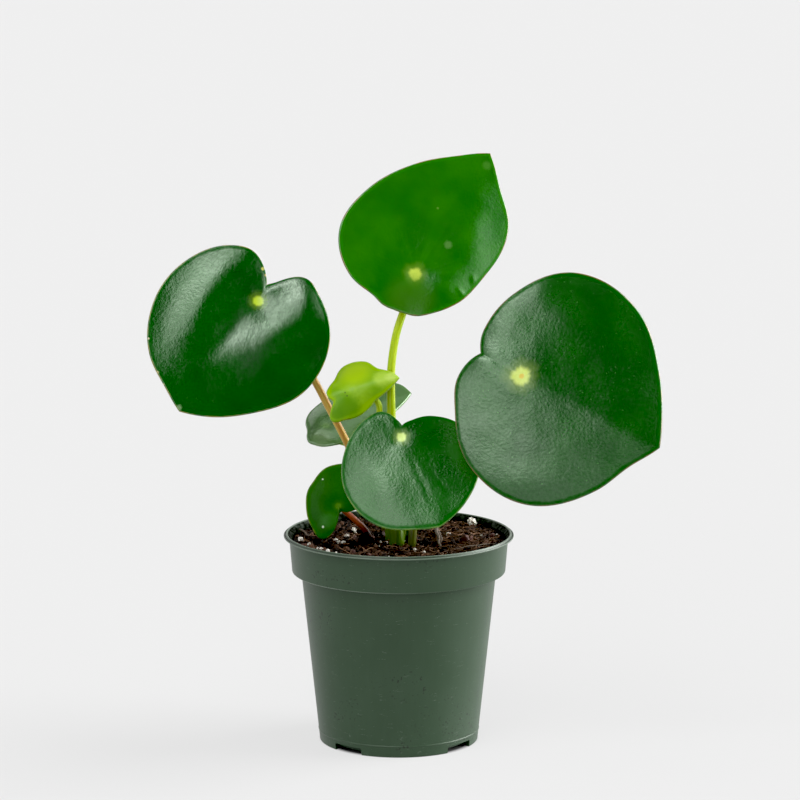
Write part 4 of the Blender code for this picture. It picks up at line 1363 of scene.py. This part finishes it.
class StageSettings(bpy.types.PropertyGroup):
    """What a user would change about the studio."""

    wall: FloatProperty(name="Wall", description="Light from the left wall", min=0, default=3.0)
    wall_end: FloatProperty(name="Wall end", description="Light from the wall's far left", min=0, default=1.3)
    side: FloatProperty(name="Side", description="Light from the right panel", min=0, default=1.7)
    side_end: FloatProperty(name="Side end", description="Light from the far right", min=0, default=12.0)
    behind: FloatProperty(name="Behind", description="Light from behind the object", min=0, default=0.9)
    lamp: FloatProperty(name="Lamp", description="Light from the high lamp at the left", min=0, default=7.2)
    top: FloatProperty(name="Top", description="Light from straight above", min=0, default=1.2)
    backdrop: FloatProperty(name="Backdrop", description="Brightness of the backdrop", min=0, default=0.863)
    softness: FloatProperty(
        name="Softness", description="Half width of the lights' edges in degrees", min=1, default=5
    )
    floor_grey: FloatProperty(name="Floor", description="Grey of the floor", min=0, max=1, default=0.1)
    floor_glow: FloatProperty(name="Floor glow", description="Light of the lit floor", min=0, default=0.665)
    black_level: FloatProperty(
        name="Black level", description="Darkest tone kept", min=0, max=0.1, default=0.012
    )


class PEPEROMIA_OT_pot(bpy.types.Operator):
    """Turn the pot and cut its drain notches"""

    bl_idname = "peperomia.make_pot"
    bl_label = "Make Pot"

    def execute(self, context):
        pot = cut_notches(turned("pot_shell", pot_profile(), POT_SIDES))
        pot.data.materials.append(pot_finish(context.scene.peperomia_pot))
        pot.data.shade_smooth()
        pot.data.set_sharp_from_angle(angle=math.radians(SHARP_ANGLE))
        settle(pot, "pot_plastic", "pot")
        return {"FINISHED"}


class PEPEROMIA_OT_soil(bpy.types.Operator):
    """Fill the pot with potting mix"""

    bl_idname = "peperomia.fill_pot"
    bl_label = "Fill Pot"

    def execute(self, context):
        settings = context.scene.peperomia_soil
        bm, rim = make_bed(BED_RADIUS, SOIL_RINGS, SOIL_SIDES)
        shrink = BED_FOOT_RADIUS / BED_RADIUS
        foot = [bm.verts.new((vert.co.x * shrink, vert.co.y * shrink, BED_FOOT * MM)) for vert in rim]
        join_rings(bm, rim, foot)
        bm.faces.new(tuple(reversed(foot)))
        bed = add_bmesh("soil_bed", bm)
        bed.data.materials.append(soil_body_finish(settings))
        bed.data.shade_smooth()
        settle(bed, "potting_mix", "soil")
        return {"FINISHED"}


class PEPEROMIA_OT_mix(bpy.types.Operator):
    """Scatter crumbs, lumps and bark chips over the potting mix"""

    bl_idname = "peperomia.scatter_mix"
    bl_label = "Scatter Crumbs and Bark"

    def execute(self, context):
        settings = context.scene.peperomia_soil
        crumb, bark = crumb_finish(settings), chip_finish(settings)
        grains = grain_growth("crumb scatter", True)
        scatter(grains, "soil_crumbs", 1, crumb, Density=330000.0, Smallest=0.6 * MM,
                Largest=settings.crumb_size, Flatness=0.7, Roughness=0.9, Pit_Size=1.1 * MM, Detail=2,
                Seed=settings.seed)
        scatter(grains, "soil_clods", 2.5, crumb, Density=20500.0, Smallest=2.2 * MM, Largest=4.6 * MM,
                Flatness=0.75, Roughness=0.8, Pit_Size=1.8 * MM, Detail=4, Seed=settings.seed + 9)
        scatter(grains, "bark_chips", 2.5, bark, Density=7000.0, Smallest=1.6 * MM, Largest=4.5 * MM,
                Flatness=0.35, Roughness=0.6, Pit_Size=2.5 * MM, Detail=3, Seed=settings.seed + 1)
        placed = grain_growth("placed lumps", False)
        grow_mix(placed, place_points("soil_lumps", LUMPS), crumb,
                 Flatness=0.7, Roughness=0.7, Pit_Size=1.8 * MM, Detail=5, Seed=8)
        grow_mix(placed, place_points("bark_pieces", BARK), bark,
                 Flatness=0.45, Roughness=0.5, Pit_Size=3 * MM, Detail=4, Seed=15)
        return {"FINISHED"}


class PEPEROMIA_OT_fibres(bpy.types.Operator):
    """Lay coir fibres and a few twigs on the potting mix"""

    bl_idname = "peperomia.lay_fibres"
    bl_label = "Lay Fibres and Twigs"

    def execute(self, context):
        settings = context.scene.peperomia_soil
        scatter(fibre_growth(), "coir_fibres", 5, fibre_finish(settings), Density=210000.0,
                Length=settings.fibre_length, Thickness=0.26 * MM, Bend=7 * MM, Lift=0.9 * MM, Tilt=0.35,
                Seed=settings.seed + 2)
        growth, wood = stem_growth(), twig_finish()
        for number, (start, end, thickness) in enumerate(TWIGS):
            grow_mix(growth, make_twig(f"twig_{number}", start, end, thickness), wood, Sides=8)
        return {"FINISHED"}


class PEPEROMIA_OT_perlite(bpy.types.Operator):
    """Strew perlite over the potting mix"""

    bl_idname = "peperomia.strew_perlite"
    bl_label = "Strew Perlite"

    def execute(self, context):
        finish = perlite_finish()
        grow_mix(grain_growth("placed grains", False), place_points("perlite_grains", PERLITE), finish,
                 Flatness=0.85, Roughness=0.6, Pit_Size=1.2 * MM, Detail=4, Seed=3)
        scatter(grain_growth("loose grains", True), "perlite_dust", 1.5, finish, Density=9000.0,
                Smallest=0.5 * MM, Largest=1.6 * MM, Flatness=0.8, Roughness=0.6, Pit_Size=0.8 * MM,
                Detail=3, Seed=11)
        return {"FINISHED"}


class PEPEROMIA_OT_stems(bpy.types.Operator):
    """Grow the seven stems along their routes"""

    bl_idname = "peperomia.grow_stems"
    bl_label = "Grow Stems"

    def execute(self, context):
        growth = stem_growth()
        settings = context.scene.peperomia_stems
        for leaf in LEAVES:
            settle(make_stem(leaf, growth, settings), leaf.stem_slot, f"stem_{leaf.name}")
        return {"FINISHED"}


class PEPEROMIA_OT_leaves(bpy.types.Operator):
    """Shape the seven leaf blades"""

    bl_idname = "peperomia.shape_leaves"
    bl_label = "Shape Leaves"

    def execute(self, context):
        for leaf in LEAVES:
            settle(make_blade(leaf), leaf.slot, f"leaf_{leaf.name}")
        return {"FINISHED"}


class PEPEROMIA_OT_stage(bpy.types.Operator):
    """Set the floor, the studio light and the camera"""

    bl_idname = "peperomia.set_stage"
    bl_label = "Set Stage"

    def execute(self, context):
        settings = context.scene.peperomia_stage
        make_floor(settings)
        make_world(settings)
        make_camera()
        view = context.scene.view_settings
        view.view_transform = "Standard"
        view.use_curve_mapping = True
        view.curve_mapping.black_level = (settings.black_level,) * 3
        return {"FINISHED"}


class PEPEROMIA_PT_panel(bpy.types.Panel):
    """The steps that dress the potted peperomia"""

    bl_label = "Potted Peperomia"
    bl_idname = "PEPEROMIA_PT_panel"
    bl_space_type = "VIEW_3D"
    bl_region_type = "UI"
    bl_category = "Peperomia"

    def draw(self, context):
        for operator, settings in STEPS:
            box = self.layout.box()
            box.operator(operator.bl_idname)
            if settings:
                group = getattr(context.scene, settings)
                for name in group.__annotations__:
                    box.prop(group, name)


SETTINGS = {
    "peperomia_pot": PotSettings,
    "peperomia_soil": SoilSettings,
    "peperomia_stems": StemSettings,
    "peperomia_leaves": LeafSettings,
    "peperomia_stage": StageSettings,
}
STEPS = (
    (PEPEROMIA_OT_pot, "peperomia_pot"),
    (PEPEROMIA_OT_soil, "peperomia_soil"),
    (PEPEROMIA_OT_mix, None),
    (PEPEROMIA_OT_fibres, None),
    (PEPEROMIA_OT_perlite, None),
    (PEPEROMIA_OT_stems, "peperomia_stems"),
    (PEPEROMIA_OT_leaves, "peperomia_leaves"),
    (PEPEROMIA_OT_stage, "peperomia_stage"),
)


def register():
    for name, group in SETTINGS.items():
        bpy.utils.register_class(group)
        setattr(bpy.types.Scene, name, PointerProperty(type=group))
    for operator, _ in STEPS:
        bpy.utils.register_class(operator)
    bpy.utils.register_class(PEPEROMIA_PT_panel)


def unregister():
    bpy.utils.unregister_class(PEPEROMIA_PT_panel)
    for operator, _ in reversed(STEPS):
        bpy.utils.unregister_class(operator)
    for name, group in SETTINGS.items():
        delattr(bpy.types.Scene, name)
        bpy.utils.unregister_class(group)


def main():
    register()
    for operator, _ in STEPS:
        group, name = operator.bl_idname.split(".")
        getattr(getattr(bpy.ops, group), name)()


if __name__ == "__main__":
    main()
